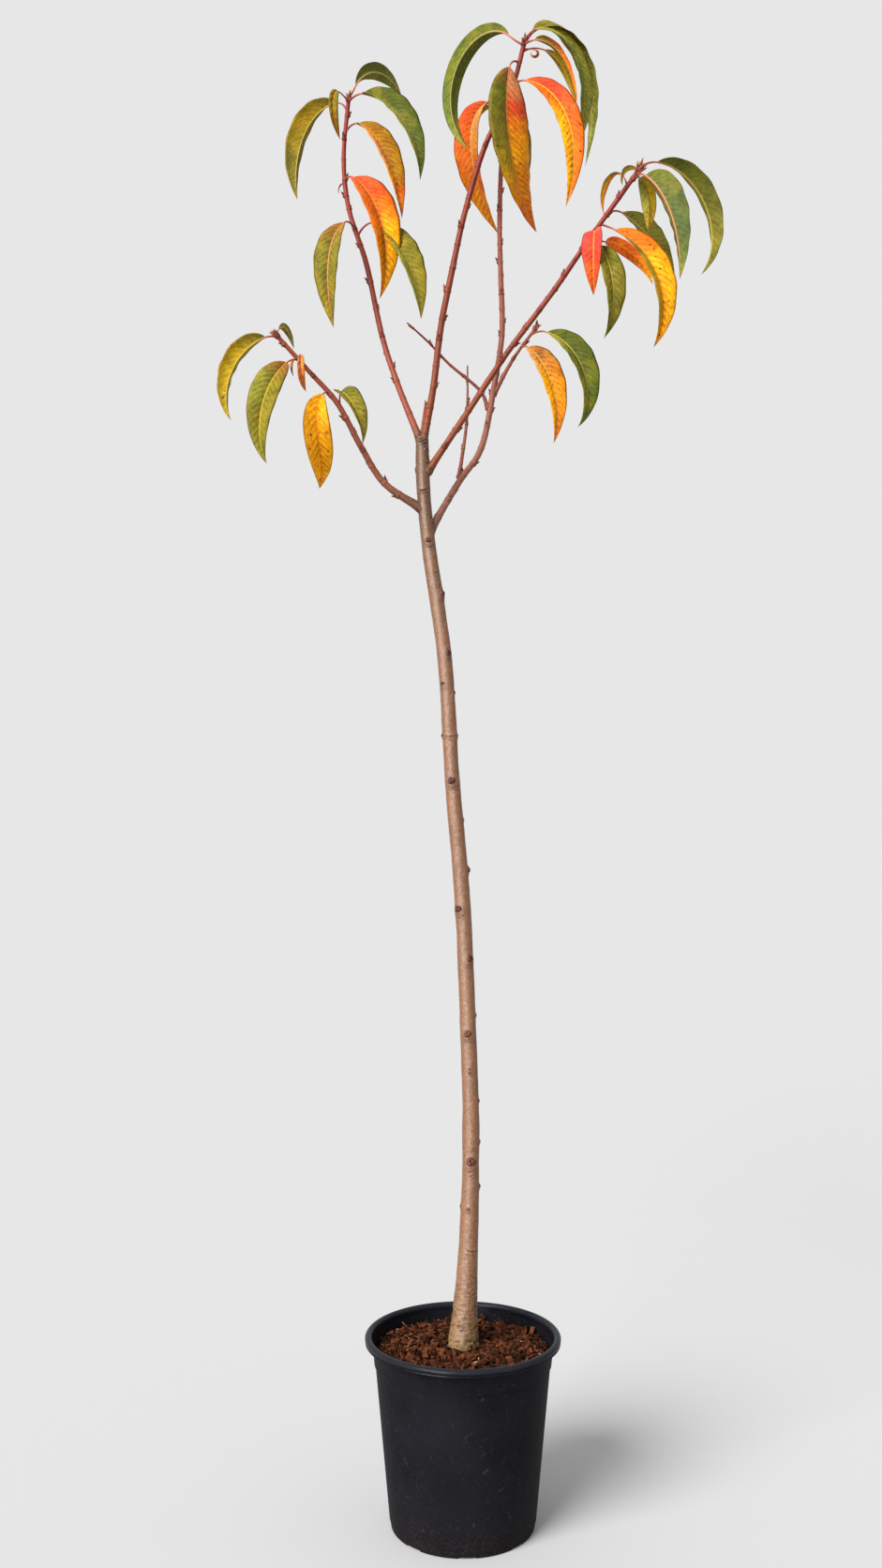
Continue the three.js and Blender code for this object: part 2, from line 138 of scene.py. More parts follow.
def round_points(radius, bearing, height):
    """Points at a distance from the Z axis, at a bearing and a height."""
    return np.stack(np.broadcast_arrays(
        radius * np.cos(bearing), radius * np.sin(bearing), height), axis=-1)


LIMBS = {
    "trunk": Limb(
        [(-1, 0, 186), (7, 4, 325), (9, 6, 453), (5, 8, 581), (-1, 8, 709), (-12, 6, 837),
         (-20, 3, 966), (-38, 1, 1095), (-44, 0, 1155), (-46, 0, 1220)],
        9.9, 7.4, 10, 50, young="tan"),
    "rear_bough": Limb(
        [(-38, 2, 1113), (-5, 26, 1173), (22, 46, 1218), (37, 63, 1291), (47, 75, 1359),
         (46, 86, 1428), (45, 96, 1495), (47, 106, 1564), (51, 114, 1632)],
        4.0, 2.2, 2.4, 14, 0.85, old="grey", young="rose", seasoned=240),
    "low_left_bough": Limb(
        [(-46, 0, 1139), (-88, -9, 1166), (-114, -23, 1205), (-139, -37, 1249),
         (-171, -48, 1283), (-206, -64, 1319)],
        4.2, 1.9, 1.8, 14, 0.55, old="rosewood", young="cherry", seasoned=40),
    "right_bough": Limb(
        [(-39, -2, 1181), (5, -19, 1243), (48, -39, 1303), (96, -57, 1363), (141, -79, 1423),
         (187, -98, 1483)],
        3.8, 2.1, 1.2, 14, 0.68, old="red", young="maroon", seasoned=10),
    "upper_left_bough": Limb(
        [(-48, 2, 1216), (-73, 15, 1281), (-92, 28, 1342), (-110, 38, 1426), (-131, 46, 1494),
         (-137, 49, 1554), (-131, 52, 1628)],
        3.8, 2.0, 1.0, 14, 0.5, old="rose", young="maroon", seasoned=19),
    "centre_bough": Limb(
        [(-45, -1, 1211), (-33, -8, 1274), (-25, -13, 1337), (-12, -23, 1400), (2, -34, 1460),
         (23, -45, 1526), (52, -53, 1585), (67, -59, 1639)],
        4.2, 2.1, 0.8, 14, 0.62, old="red", young="maroon", seasoned=19),
    "fork_stub": Limb([(-47, 4, 1216), (-42, 12, 1264)], 2.8, 0.5, old="grey", young="rose",
                      seasoned=30),
    "upright_twig": Limb([(-4, 29, 1180), (5, 37, 1247), (6, 46, 1313)], 1.9, 0.5, 0.6, 8,
                         old="russet", young="russet"),
    "crossing_twig": Limb(
        [(30, 58, 1266), (20, 63, 1289), (-15, 60, 1318), (-39, 52, 1341), (-64, 42, 1361)],
        1.8, 0.5, 0.6, 8, old="russet", young="maroon"),
    "side_twig": Limb([(37, 63, 1283), (59, 58, 1323), (87, 46, 1359)], 2.0, 1.2, 0.6, 8, 0,
                      old="russet", young="rose"),
}

# Bud scars on the trunk: height, compass bearing and size.
TRUNK_SCARS = [
    (1187, -30, 4.5), (1103, -90, 5.6), (1044, -32, 7), (977, -55, 6.4), (943, -125, 4.6),
    (933, -25, 4), (885, -172, 4), (885, -12, 4), (834, -97, 7.4), (790, 0, 3.4),
    (734, -12, 6.4), (690, -125, 7.4), (634, -58, 7.4), (570, 0, 3.4), (550, -97, 7.6),
    (510, -93, 2.8), (506, -92, 3), (407, -90, 8.8), (354, -102, 3.4), (474, -20, 4),
    (428, 0, 4), (378, 2, 4.5), (356, -172, 4), (1144, 180, 5), (1184, 180, 4),
    (1123, 0, 5),
]
# Creases across the bark: height, bearing, half of their spread round the trunk, depth.
TRUNK_CREASES = [
    (1158, -100, 50, 1.0), (306, -65, 40, 0.8), (261, -80, 20, 0.5), (1216, -105, 45, 1.1),
    (1210, -70, 40, 1.0), (1204, -30, 35, 0.6), (1189, -35, 35, 0.9), (1181, -30, 40, 0.8),
    (1128, -20, 45, 0.6), (1121, -10, 35, 0.6), (1144, -160, 35, 0.6), (1095, -80, 25, 0.6),
    (1066, -60, 25, 0.4), (395, -92, 22, 0.6), (390, -90, 16, 0.45),
    (1194, -24, 12, 1.6), (1186, -32, 10, 1.2), (1213, -84, 13, 1.4), (1207, -62, 10, 1.3),
    (883, -90, 55, 0.5), (682, -95, 14, 0.5),
]
# Painted shade in the clefts where the boughs meet the trunk: height and bearing.
FORK_CLEFTS = [(1186, -22), (1216, -88), (1212, -70), (1118, 5), (1214, 60), (1140, 178)]


# ---- Leaves ----


# How far towards the tip a side vein meets the margin, for a blade half 1 wide: VEIN_SLANT
# at the midrib and VEIN_BEND more at the margin.
VEIN_SLANT, VEIN_BEND = 0.8, 0.45
# Straight steps of a stalk and of a blade, and the powers of the blade's outline towards
# its base and its tip, all as in the solids.
STALK_STEPS, BLADE_STEPS = 6, 24
OUTLINE = (0.75, 1.1)


class Leaf:
    """One leaf of a spray, by the rule of the solids.

    at is its place along the whole limb, lift the slope of its stalk, rise and fall the
    slopes of its blade at base and tip. outer and inner name the tints of its two halves
    from base to tip, and rib the tint of its midrib. spots is how spotted it is.
    """

    def __init__(self, at, heading, stalk, lift, length, width, rise, fall, roll, sweep, fold,
                 curl, outer, inner=None, rib="cream", twist=0, spots=0.2, rim=0.5):
        self.at, self.heading, self.stalk, self.lift = at, heading, stalk, lift
        self.length, self.width, self.rise, self.fall = length, width, rise, fall
        self.roll, self.sweep, self.fold, self.curl, self.twist = roll, sweep, fold, curl, twist
        self.outer, self.inner = outer.split(), (inner or outer).split()
        self.rib, self.spots, self.rim = rib, spots, rim

    def frame(self, share):
        """Along the blade, its face and its right-hand edge, at each share of its length."""
        slope = self.rise + (self.fall - self.rise) * (1 - (1 - share) ** self.curl)
        bearing = np.radians(self.heading + self.sweep * share)
        turn = np.radians(self.roll + self.twist * share)[..., None]
        along = direction(bearing, np.radians(slope))
        level = direction(bearing, np.radians(slope + 90))
        face = level * np.cos(turn) + np.cross(along, level) * np.sin(turn)
        return along, face, np.cross(along, face)

    def stalk_points(self, start):
        """The stalk's line from the shoot to the blade's foot."""
        points = [start]
        for i in range(STALK_STEPS):
            slope = self.lift + (self.rise - self.lift) * (i + 0.5) / STALK_STEPS
            step = direction(np.radians(self.heading), np.radians(slope))
            points.append(points[-1] + step * self.stalk / STALK_STEPS)
        return points

    def blade_points(self, start):
        """The line of the blade's midrib."""
        shares = (np.arange(BLADE_STEPS) + 0.5) / BLADE_STEPS
        steps = self.frame(shares)[0] * self.length / BLADE_STEPS
        return np.vstack([start, start + np.cumsum(steps, axis=0)])


def direction(bearing, slope):
    """Directions at a bearing round +Z and a slope above the level, in radians."""
    return np.stack(
        [np.cos(bearing) * np.cos(slope), np.sin(bearing) * np.cos(slope), np.sin(slope)],
        axis=-1)


SPRAYS = {
    "low_left_bough": [
        Leaf(0.98, 65, 8, 70, 44, 9, 55, -70, -55, 0, 25, 1.5, "lime olive"),
        Leaf(0.97, 230, 20, 0, 118, 30, -25, -120, 60, -35, 30, 0.75,
             "green mustard mustard mustard", "olive mustard mustard", "yellow", rim=1),
        Leaf(0.85, 240, 24, -5, 132, 35, -35, -125, -35, -20, 25, 0.75,
             "rust olive olive green", "rust lime olive lime", "yellow", rim=0.9),
        Leaf(0.82, 270, 28, 25, 52, 9, -10, -155, -25, -15, 25, 2, "apricot orange", rib="pink"),
        Leaf(0.66, -120, 12, -10, 126, 32, -35, -150, -15, 45, 20, 2.25,
             "gold gold gold gold gold", rib="amber", spots=0.45),
        Leaf(0.58, -85, 24, 40, 102, 27, 0, -95, 15, 65, 30, 1, "green olive olive",
             "olive olive olive", "yellow"),
    ],
    "upper_left_bough": [
        Leaf(0.99, 40, 20, 55, 112, 22, 65, -10, -55, 35, 25, 2, "green green lime"),
        Leaf(0.98, 250, 28, 10, 68, 12, -10, -140, -35, 0, 25, 1.75, "olive olive rust",
             rib="amber"),
        Leaf(0.98, -50, 28, 20, 154, 37, -20, -90, 35, 40, 35, 1, "forest forest green",
             "green lime lime"),
        Leaf(0.95, 140, 24, 80, 142, 37, 15, -100, 0, -5, 35, 1.5, "olive mustard olive olive",
             "olive olive olive", "yellow", rim=1),
        Leaf(0.9, -55, 28, 30, 154, 34, -25, -80, 20, 30, 30, 1.75,
             "olive bronze bronze bronze bronze orange maroon",
             "bronze apricot apricot amber rust", "amber", spots=0.7),
        Leaf(0.76, -60, 22, 10, 178, 45, -30, -110, 15, 30, 25, 1,
             "coral coral orange gold gold amber", "coral orange orange amber amber", "apricot",
             spots=0.4),
        Leaf(0.59, 240, 28, 55, 138, 34, -35, -110, -5, 0, 20, 1.5, "rust olive olive olive",
             "rust olive olive mustard", "pink", rim=0.9),
        Leaf(0.58, -50, 42, 45, 148, 38, -35, -85, 15, 10, 30, 1, "olive olive olive",
             "olive lime lime", "yellow"),
    ],
    "centre_bough": [
        Leaf(0.99, 30, 20, 65, 168, 37, 40, -100, 55, -10, 10, 2.5, "olive lime lime",
             "lime deep olive", "yellow"),
        Leaf(0.99, 40, 18, 45, 210, 36, 50, -105, 20, 0, 5, 2, "rust olive lime lime deep",
             "olive lime deep"),
        Leaf(0.98, 140, 26, 35, 196, 27, 45, -130, 45, -5, 40, 1.5, "forest green deep lime",
             "green green green green"),
        Leaf(0.98, -50, 18, 10, 106, 19, -15, -80, -30, 35, 5, 1.75,
             "olive rust orange orange amber", rib="olive"),
        Leaf(0.96, 35, 34, 40, 74, 11, 0, -70, -30, 10, 25, 1.75, "olive mustard mustard amber",
             rib="yellow"),
        Leaf(0.93, -135, 20, 15, 188, 58, -75, -165, -70, 20, 5, 0.75,
             "rosy rosy coral amber gold amber amber orange orange",
             "rust green olive olive mustard amber orange orange",
             "apricot", twist=-20, rim=0.8, spots=0.3),
        Leaf(0.87, -35, 16, 30, 172, 30, -20, -105, 55, 15, 25, 1.5,
             "coral coral orange orange amber", "orange orange gold gold gold", "yellow",
             spots=0.9),
    ],
    "rear_bough": [
        Leaf(1, 225, 28, 55, 180, 40, -25, -130, -20, 0, 30, 2, "apricot apricot orange amber",
             "coral vermilion orange amber amber", "cream", twist=30, spots=0.9),
        Leaf(1, 130, 18, 65, 148, 33, 30, -120, -25, -30, 25, 1.5, "olive mustard amber"),
        Leaf(1, 85, 10, 45, 144, 32, 30, -90, -15, -30, 25, 1.5, "orange gold gold", rib="amber",
             spots=0.5),
        Leaf(0.97, 60, 18, 25, 122, 28, 30, -95, -20, 40, 25, 1.5, "green olive olive"),
    ],
    "side_twig": [
        Leaf(0.86, -45, 26, 15, 140, 37, -25, -130, 35, 30, 30, 0.75, "forest forest green green",
             "lime green lime", "yellow"),
        Leaf(0.67, -65, 18, 5, 140, 34, -30, -105, 20, 30, 30, 1,
             "rust rust amber amber orange", "apricot apricot gold gold amber", "yellow",
             spots=0.5),
    ],
    "right_bough": [
        Leaf(1, 35, 26, 40, 164, 33, 10, -130, -5, -10, 35, 1, "lime lime green",
             "green green olive green", "yellow", rim=0.8),
        Leaf(0.98, -75, 28, -20, 154, 41, -30, -95, -85, 25, 30, 1, "olive lime green green",
             "green blue blue deep", "pink", rim=0.6),
        Leaf(0.95, 55, 28, 55, 66, 18, 5, -110, -25, 10, 20, 1.75, "lime lime mustard",
             "mustard mustard rust", "olive"),
        Leaf(0.94, 120, 18, 75, 62, 10, 45, -100, -5, 15, 20, 1.75, "olive mustard orange",
             rib="orange"),
        Leaf(0.85, 50, 32, 40, 126, 30, 0, -30, 0, 5, 30, 1.5, "lime lime olive",
             rib="yellow"),
        Leaf(0.82, -15, 18, -20, 148, 40, -30, -115, 50, 15, 30, 1,
             "orange orange gold gold gold amber", "orange olive mustard mustard amber", "amber",
             spots=0.9),
        Leaf(0.8, 55, 24, -50, 86, 17, 20, -75, -55, -55, 25, 1, "flame flame gold",
             rib="amber", spots=0.6),
        Leaf(0.8, -100, 6, -25, 92, 26, -20, -130, 20, 5, 25, 1, "scarlet scarlet coral orange",
             "coral scarlet coral orange", "apricot", spots=0.3),
        Leaf(0.8, -75, 28, -60, 112, 29, -45, -120, 15, 45, 25, 1, "green olive olive green",
             "olive olive green", "yellow"),
    ],
}
# Dried scraps of leaf that cling to the shoots.
SCRAPS = {
    "upper_left_bough": [
        Leaf(0.75, 200, 2, 10, 16, 3, -30, -110, 20, 30, 40, 1, "rust amber", rib="rust")],
    "right_bough": [
        Leaf(0.99, 190, 2, 40, 30, 10, 10, -110, 30, 20, 35, 1, "olive olive rust", rib="rust"),
        Leaf(0.79, 230, 2, -20, 22, 4, -40, -140, 0, 60, 45, 1, "amber rust", rib="rust")],
    "centre_bough": [
        Leaf(0.97, -10, 14, 0, 16, 5, -20, -290, 30, 20, 40, 1, "maroon apricot", rib="rust")],
    "low_left_bough": [
        Leaf(0.845, 250, 14, 20, 24, 5, -30, -150, 40, 10, 35, 1, "orange olive", rib="rust")],
}

# Bare buds, by the rule of the solids: spacing along the shoot and turn from one to the
# next, and how many larger ones stand within TIP_BUD_FROM of the shoot's end.
BUD_SPACING, BUD_TURN = 24, 137.5
TIP_BUDS, TIP_BUD_SIZE, TIP_BUD_FROM = 4, 1.7, 4
BUD_SEED = 7
# A bud of size 1: its length, its radius, how deep it is rooted and how far it leans out.
PLAIN_BUD = 6.6, 1.65, 0.5, math.radians(34)
TIP_BUD = 4.6, 1.1, 0.8, math.radians(28)
LONG_TIP_BUD = 7.4, *TIP_BUD[1:]
TIP_CLUSTER = 3  # slim buds in the place of each tip bud


def dice(seed):
    """A repeatable run of numbers between 0 and 1, the same as the solids have."""
    state = seed

    def roll():
        nonlocal state
        state = state * 16807 % 2147483647
        return state / 2147483647

    return roll


# ---- Settings ----


def colour_setting(name, description, default):
    """A colour of a settings group."""
    return FloatVectorProperty(
        name=name, description=description, default=default, subtype="COLOR", size=3,
        min=0, max=1)


def length_setting(name, description, millimetres):
    """A length of a settings group, kept in metres."""
    return FloatProperty(
        name=name, description=description, default=millimetres * MM, min=0,
        subtype="DISTANCE", unit="LENGTH", precision=4)


class PeachPotSettings(bpy.types.PropertyGroup):
    """Sizes and colours of the pot."""

    height: length_setting("Height", "From the underside to the top of the lip", 213)
    lip_radius: length_setting("Lip radius", "Outer radius of the rolled lip", 110)
    lip_width: length_setting("Lip width", "How wide the lip is, seen from above", 8)
    lip_height: length_setting("Lip height", "How far the lip hangs down", 8.5)
    base_radius: length_setting("Base radius", "Radius of the wall at its foot", 81.5)
    band_height: length_setting("Band height", "Height of the stacking step", 181)
    step: length_setting("Step", "How far the stacking step stands out", 1.2)
    foot_height: length_setting("Foot height", "Height of the recessed foot", 9)
    foot_step: length_setting("Foot step", "How far the foot is set back", 0.7)
    wall: length_setting("Wall", "Thickness of the wall", 1.8)
    floor: length_setting("Floor", "Thickness of the floor", 3)
    flare: FloatProperty(
        name="Flare", description="Growth of the radius for each unit of height", default=0.092)
    plastic: colour_setting("Plastic", "The black plastic", (0.0032, 0.0031, 0.0046))
    scuff: colour_setting("Scuffs", "Fine scratches and dust", (0.085, 0.07, 0.056))
    # worn is the colour of a painted highlight along the top of the lip, not of wear.
    worn: colour_setting("Painted lip highlight", "Pale highlight painted along the top of the lip", (0.03, 0.033, 0.041))
    dirt: colour_setting("Dirt", "Dried soil round the foot", (0.0312, 0.0187, 0.0104))


class PeachCompostSettings(bpy.types.PropertyGroup):
    """Sizes and colours of the compost."""

    top: length_setting("Top", "Height of the compost round the trunk", 198)
    edge_top: length_setting("Edge top", "Height of the compost at the wall", 196)
    chips: IntProperty(name="Chips", description="Number of bark chips", default=2800)
    crumbs: IntProperty(name="Crumbs", description="Number of peat crumbs", default=5600)
    peat: colour_setting("Peat", "Dark peat between the chips", (0.014, 0.0055, 0.003))
    bark: colour_setting("Bark", "Reddish bark chips", (0.095, 0.03, 0.013))
    wood: colour_setting("Wood", "Pale chips of wood", (0.34, 0.2, 0.1))


class PeachBarkSettings(bpy.types.PropertyGroup):
    """Bark colours of the trunk, boughs and shoots."""

    tan: colour_setting("Trunk", "Smooth bark of the trunk", (0.158, 0.069, 0.031))
    umber: colour_setting("Fork", "Browner bark round the fork", (0.1, 0.045, 0.021))
    grey: colour_setting("Old bough", "Grey-brown bark of an older bough", (0.175, 0.074, 0.047))
    russet: colour_setting("Russet", "Brown bark of bare twigs", (0.17, 0.047, 0.027))
    rose: colour_setting("Rose", "Pinkish bark of young boughs", (0.19, 0.042, 0.022))
    red: colour_setting("Red", "Orange-red bark of young boughs", (0.152, 0.034, 0.01))
    cherry: colour_setting("Cherry", "Bright red bark of the low bough", (0.23, 0.042, 0.02))
    rosewood: colour_setting("Rosewood", "Bark at the low bough's foot", (0.2, 0.072, 0.042))
    maroon: colour_setting("Maroon", "Dark red bark of the shoots' tips", (0.165, 0.018, 0.009))
    fleck: colour_setting("Flecks", "Brown flecks all over the bark", (0.088, 0.031, 0.01))
    # bloom is the pale colour of painted highlights: the glints on the bark and the streak down
    # the trunk.
    bloom: colour_setting("Painted highlight", "Pale colour of the painted glints and streak", (0.5, 0.37, 0.28))
    # mark darkens the bud scars, and paints shade into creases, wrinkles and clefts.
    mark: colour_setting("Scars", "Dark bark in scars and creases", (0.03, 0.011, 0.006))
    moss: colour_setting("Moss", "Green bloom on the trunk's foot", (0.17, 0.135, 0.042))
    bud: colour_setting("Buds", "Scales of the buds", (0.075, 0.024, 0.014))
    knob: colour_setting("Knobs", "Healed buds on the trunk", (0.088, 0.021, 0.009))
    husk: colour_setting("Tip buds", "Downy scales at the shoots' tips", (0.14, 0.055, 0.03))


class PeachLeafSettings(bpy.types.PropertyGroup):
    """Tints and relief of the leaves."""

    deep: colour_setting("Deep green", "Darkest green", (0.105, 0.145, 0.016))
    green: colour_setting("Green", "Green", (0.088, 0.115, 0.0105))
    forest: colour_setting("Dark olive green", "Dull, dark green", (0.068, 0.086, 0.007))
    blue: colour_setting("Blue-green", "Cool green", (0.058, 0.09, 0.022))
    olive: colour_setting("Olive", "Olive green", (0.169, 0.14, 0.0112))
    lime: colour_setting("Lime", "Pale yellow-green", (0.235, 0.23, 0.03))
    mustard: colour_setting("Mustard", "Greenish yellow", (0.42, 0.26, 0.006))
    gold: colour_setting("Gold", "Golden yellow", (0.95, 0.375, 0.004))
    bronze: colour_setting("Bronze", "Brownish amber", (0.29, 0.115, 0.002))
    amber: colour_setting("Amber", "Dark orange-yellow", (0.72, 0.22, 0.003))
    orange: colour_setting("Orange", "Orange", (0.68, 0.115, 0.004))
    apricot: colour_setting("Apricot", "Pale orange", (0.603, 0.232, 0.0491))
    flame: colour_setting("Flame", "Brightest orange-red", (0.95, 0.125, 0.01))
    vermilion: colour_setting("Vermilion", "Orange-red", (0.62, 0.07, 0.008))
    coral: colour_setting("Coral", "Coral red", (0.66, 0.05, 0.016))
    scarlet: colour_setting("Scarlet", "Pink-red", (0.597, 0.0491, 0.0386))
    rosy: colour_setting("Rosy brown", "Pinkish brown", (0.48, 0.17, 0.065))
    rust: colour_setting("Rust", "Rusty brown", (0.294, 0.0913, 0.0175))
    maroon: colour_setting("Maroon", "Dark red of stalks", (0.246, 0.0421, 0.0281))
    pink: colour_setting("Pink", "Pink of stalks and midribs", (0.505, 0.182, 0.105))
    cream: colour_setting("Cream", "Pale midrib", (0.351, 0.281, 0.0842))
    yellow: colour_setting("Yellow", "Yellow midrib", (0.456, 0.329, 0.0421))
    scorch: colour_setting("Scorch", "Dead spots", (0.0316, 0.0112, 0.00421))
    thickness: length_setting("Thickness", "Thickness of a blade", 0.45)
    wave: length_setting("Wave", "Height of the waves in a blade's margin", 0.6)
    quilting: length_setting("Quilting", "Rise of the blade between its side veins", 0.6)
    vein_gap: length_setting("Vein spacing", "From one side vein to the next", 7.5)


class PeachStageSettings(bpy.types.PropertyGroup):
    """The plain studio."""

    floor: colour_setting("Floor", "The floor", (0.414, 0.414, 0.414))
    sky: FloatProperty(name="Sky", description="Strength of the light from all sides",
                       default=0.8)
    key: FloatProperty(name="Key", description="Strength of the soft light at the left",
                       default=6.2)
    strip: FloatProperty(name="Strip light", description="Strength of the low lamp for the sheen",
                         default=5.0)
    softness: FloatProperty(name="Softness", description="Breadth of the soft light",
                            subtype="ANGLE", default=math.radians(34))


# ---- Shaders ----


def both_ways(operation):
    """An operation on a value and what comes after it, and on what comes before it."""
    return (lambda value, other: value.shader.maths(operation, value, other),
            lambda value, other: value.shader.maths(operation, other, value))


class Value:
    """A number that changes over a surface, with the usual arithmetic."""

    def __init__(self, shader, socket):
        self.shader, self.socket = shader, socket

    __add__, __radd__ = both_ways("ADD")
    __sub__, __rsub__ = both_ways("SUBTRACT")
    __mul__, __rmul__ = both_ways("MULTIPLY")
    __truediv__ = both_ways("DIVIDE")[0]

    def __neg__(self):
        return self.shader.maths("MULTIPLY", self, -1)

    def __abs__(self):
        return self.shader.maths("ABSOLUTE", self)

    def fraction(self):
        """What is left above the whole number below."""
        return self.shader.maths("FRACT", self)

    def step(self, low, high):
        """A soft step from 0 at low to 1 at high."""
        node = self.shader.node(
            "ShaderNodeMapRange", {"interpolation_type": "SMOOTHSTEP"},
            {"Value": self, "From Min": low, "From Max": high})
        return Value(self.shader, node.outputs["Result"])

    def fall(self, low, high):
        """A soft step from 1 at low to 0 at high."""
        return 1 - self.step(low, high)


class Shader:
    """A material with its Principled surface and short ways to make nodes."""

    def __init__(self, name, gloss):
        self.material = bpy.data.materials.new(name)
        self.material.use_nodes = True
        self.tree = self.material.node_tree
        self.surface = self.tree.nodes["Principled BSDF"]
        self.fill(self.surface, {"Specular IOR Level": gloss})

    def node(self, kind, settings=None, inputs=None):
        """A new node with its settings and inputs."""
        made = self.tree.nodes.new(kind)
        for key, value in (settings or {}).items():
            setattr(made, key, value)
        self.fill(made, inputs or {})
        return made

    def fill(self, node, inputs):
        """Links or sets each input of a node."""
        for key, value in inputs.items():
            if isinstance(value, Value):
                value = value.socket
            if isinstance(value, bpy.types.NodeSocket):
                self.tree.links.new(value, node.inputs[key])
            else:
                node.inputs[key].default_value = value

    def maths(self, operation, *values):
        made = self.node("ShaderNodeMath", {"operation": operation}, dict(enumerate(values)))
        return Value(self, made.outputs[0])

    def place(self):
        return self.node("ShaderNodeTexCoord").outputs["Object"]

    def attribute(self, name, output="Vector"):
        return self.node("ShaderNodeAttribute", {"attribute_name": name}).outputs[output]

    def split(self, vector):
        parts = self.node("ShaderNodeSeparateXYZ", None, {"Vector": vector}).outputs
        return [Value(self, part) for part in parts]

    def stretched(self, vector, x=1.0, y=1.0, z=1.0):
        return self.node("ShaderNodeVectorMath", {"operation": "MULTIPLY"},
                         {0: vector, 1: (x, y, z)}).outputs[0]

    def turned(self, vector, x=0.0, y=0.0, z=0.0):
        return self.node("ShaderNodeMapping", None,
                         {"Vector": vector, "Rotation": (x, y, z)}).outputs[0]

    def noise(self, vector, scale, detail=3.0, roughness=0.55):
        made = self.node("ShaderNodeTexNoise", None, {
            "Vector": vector, "Scale": scale, "Detail": detail, "Roughness": roughness})
        return Value(self, made.outputs["Fac"])

    def cells(self, vector, scale, dimensions="3D"):
        """The distance from the middle of a scattered cell, and the cell's random number."""
        made = self.node("ShaderNodeTexVoronoi", {"voronoi_dimensions": dimensions},
                         {"Vector": vector, "Scale": scale})
        return Value(self, made.outputs["Distance"]), self.split(made.outputs["Color"])[0]

    def net(self, vector, scale):
        """The distance from the borders between scattered cells."""
        made = self.node(
            "ShaderNodeTexVoronoi",
            {"voronoi_dimensions": "2D", "feature": "DISTANCE_TO_EDGE"},
            {"Vector": vector, "Scale": scale})
        return Value(self, made.outputs["Distance"])

    def mix(self, share, first, second):
        """A colour between two colours."""
        return self.node("ShaderNodeMix", {"data_type": "RGBA"},
                         {0: share, 6: rgba(first), 7: rgba(second)}).outputs[2]

    def lit(self, colour, amount):
        """A colour made lighter or darker by a changing amount."""
        return self.node("ShaderNodeVectorMath", {"operation": "SCALE"},
                         {0: colour, "Scale": amount}).outputs[0]

    def finish(self, colour, roughness, height, depth):
        """Joins the colour, the roughness and the relief, depth metres high, to the surface."""
        bump = self.node("ShaderNodeBump", None, {
            "Strength": 1.0, "Distance": depth, "Height": height})
        self.fill(self.surface, {
            "Base Color": colour, "Roughness": roughness, "Normal": bump.outputs[0]})
        return self.material


def rgba(colour):
    """A colour as a mix node takes it."""
    return colour if isinstance(colour, bpy.types.NodeSocket) else (*colour, 1.0)


def plastic_material(pot):
    """Black moulded plastic with dust, scratches, dried soil near the foot and a painted
    highlight along the top of the lip.
    """
    s = Shader("pot_plastic", gloss=0.06)
    place = s.place()
    east, north, height = s.split(place)
    bearing = s.maths("ARCTAN2", east, -north)
    wall = s.node("ShaderNodeCombineXYZ", None, {"X": bearing * pot.lip_radius, "Y": height})
    cloud = s.noise(place, 14, 4)
    dusty = s.noise(s.stretched(place, 1, 1, 0.6), 11, 3).step(0.3, 0.66)
    dots, pick = s.cells(place, 260)
    specks = (dots + cloud * 0.1).fall(0.1, 0.24) * pick.step(0.5, 0.7) * dusty
    scratches = 0
    for tilt, scale in ((0.5, 170), (-0.35, 230), (1.1, 150), (0.1, 260)):
        slant = s.turned(wall.outputs[0], z=tilt)
        line = abs(s.noise(s.stretched(slant, 0.09, 1, 1), scale, 0) - 0.5).fall(0.002, 0.016)
        short = s.noise(s.stretched(slant, 0.5, 1, 1), scale * 0.8, 1).step(0.56, 0.66)
        scratches = line * short + scratches
    soil = (height.fall(0.004, 0.07) * s.noise(place, 330, 5, 0.75).step(0.48, 0.66)
            + abs(height - pot.foot_height).fall(0.0, 0.0014) * cloud.step(0.35, 0.6))
    colour = s.mix(cloud.step(0.3, 0.7) * 0.7, pot.plastic, tuple(2.1 * c for c in pot.plastic))
    colour = s.mix(specks * 0.4, colour, pot.scuff)
    colour = s.mix(scratches * dusty * 0.28, colour, pot.scuff)
    colour = s.mix(soil * 0.55, colour, pot.dirt)
    grain = s.noise(place, 900, 2)
    lip = height.step(0.203, 0.206)
    # Painted highlight: the top of the lip is painted paler and bluish.
    colour = s.mix(height.step(0.2075, 0.2095) * (0.2 + grain * 0.15), colour, pot.worn)
    roughness = 0.56 + cloud * 0.12 + soil * 0.2 + specks * 0.15 - lip * 0.3
    return s.finish(colour, roughness, grain * 0.5 + cloud * 2 + scratches * 0.4, 0.00015)


def compost_material():
    """Peat and chips of bark: each chip has its own tint."""
    s = Shader("compost", gloss=0.03)
    place = s.place()
    grain = s.noise(s.stretched(place, 1, 1, 1.5), 900, 4, 0.7)
    fibre = s.noise(s.stretched(s.turned(place, 0.3, 0.2, 0.8), 1, 0.2, 1), 1400, 3)
    coarse = s.noise(place, 330, 2)
    light = (0.22 + grain.step(0.36, 0.64) * 0.75 + fibre.step(0.35, 0.65) * 0.4
             + coarse.step(0.4, 0.62) * 0.3)
    colour = s.lit(s.attribute("chip_tint", "Color"), light)
    return s.finish(colour, 0.78 + grain * 0.2, grain + fibre * 0.6, 0.0006)


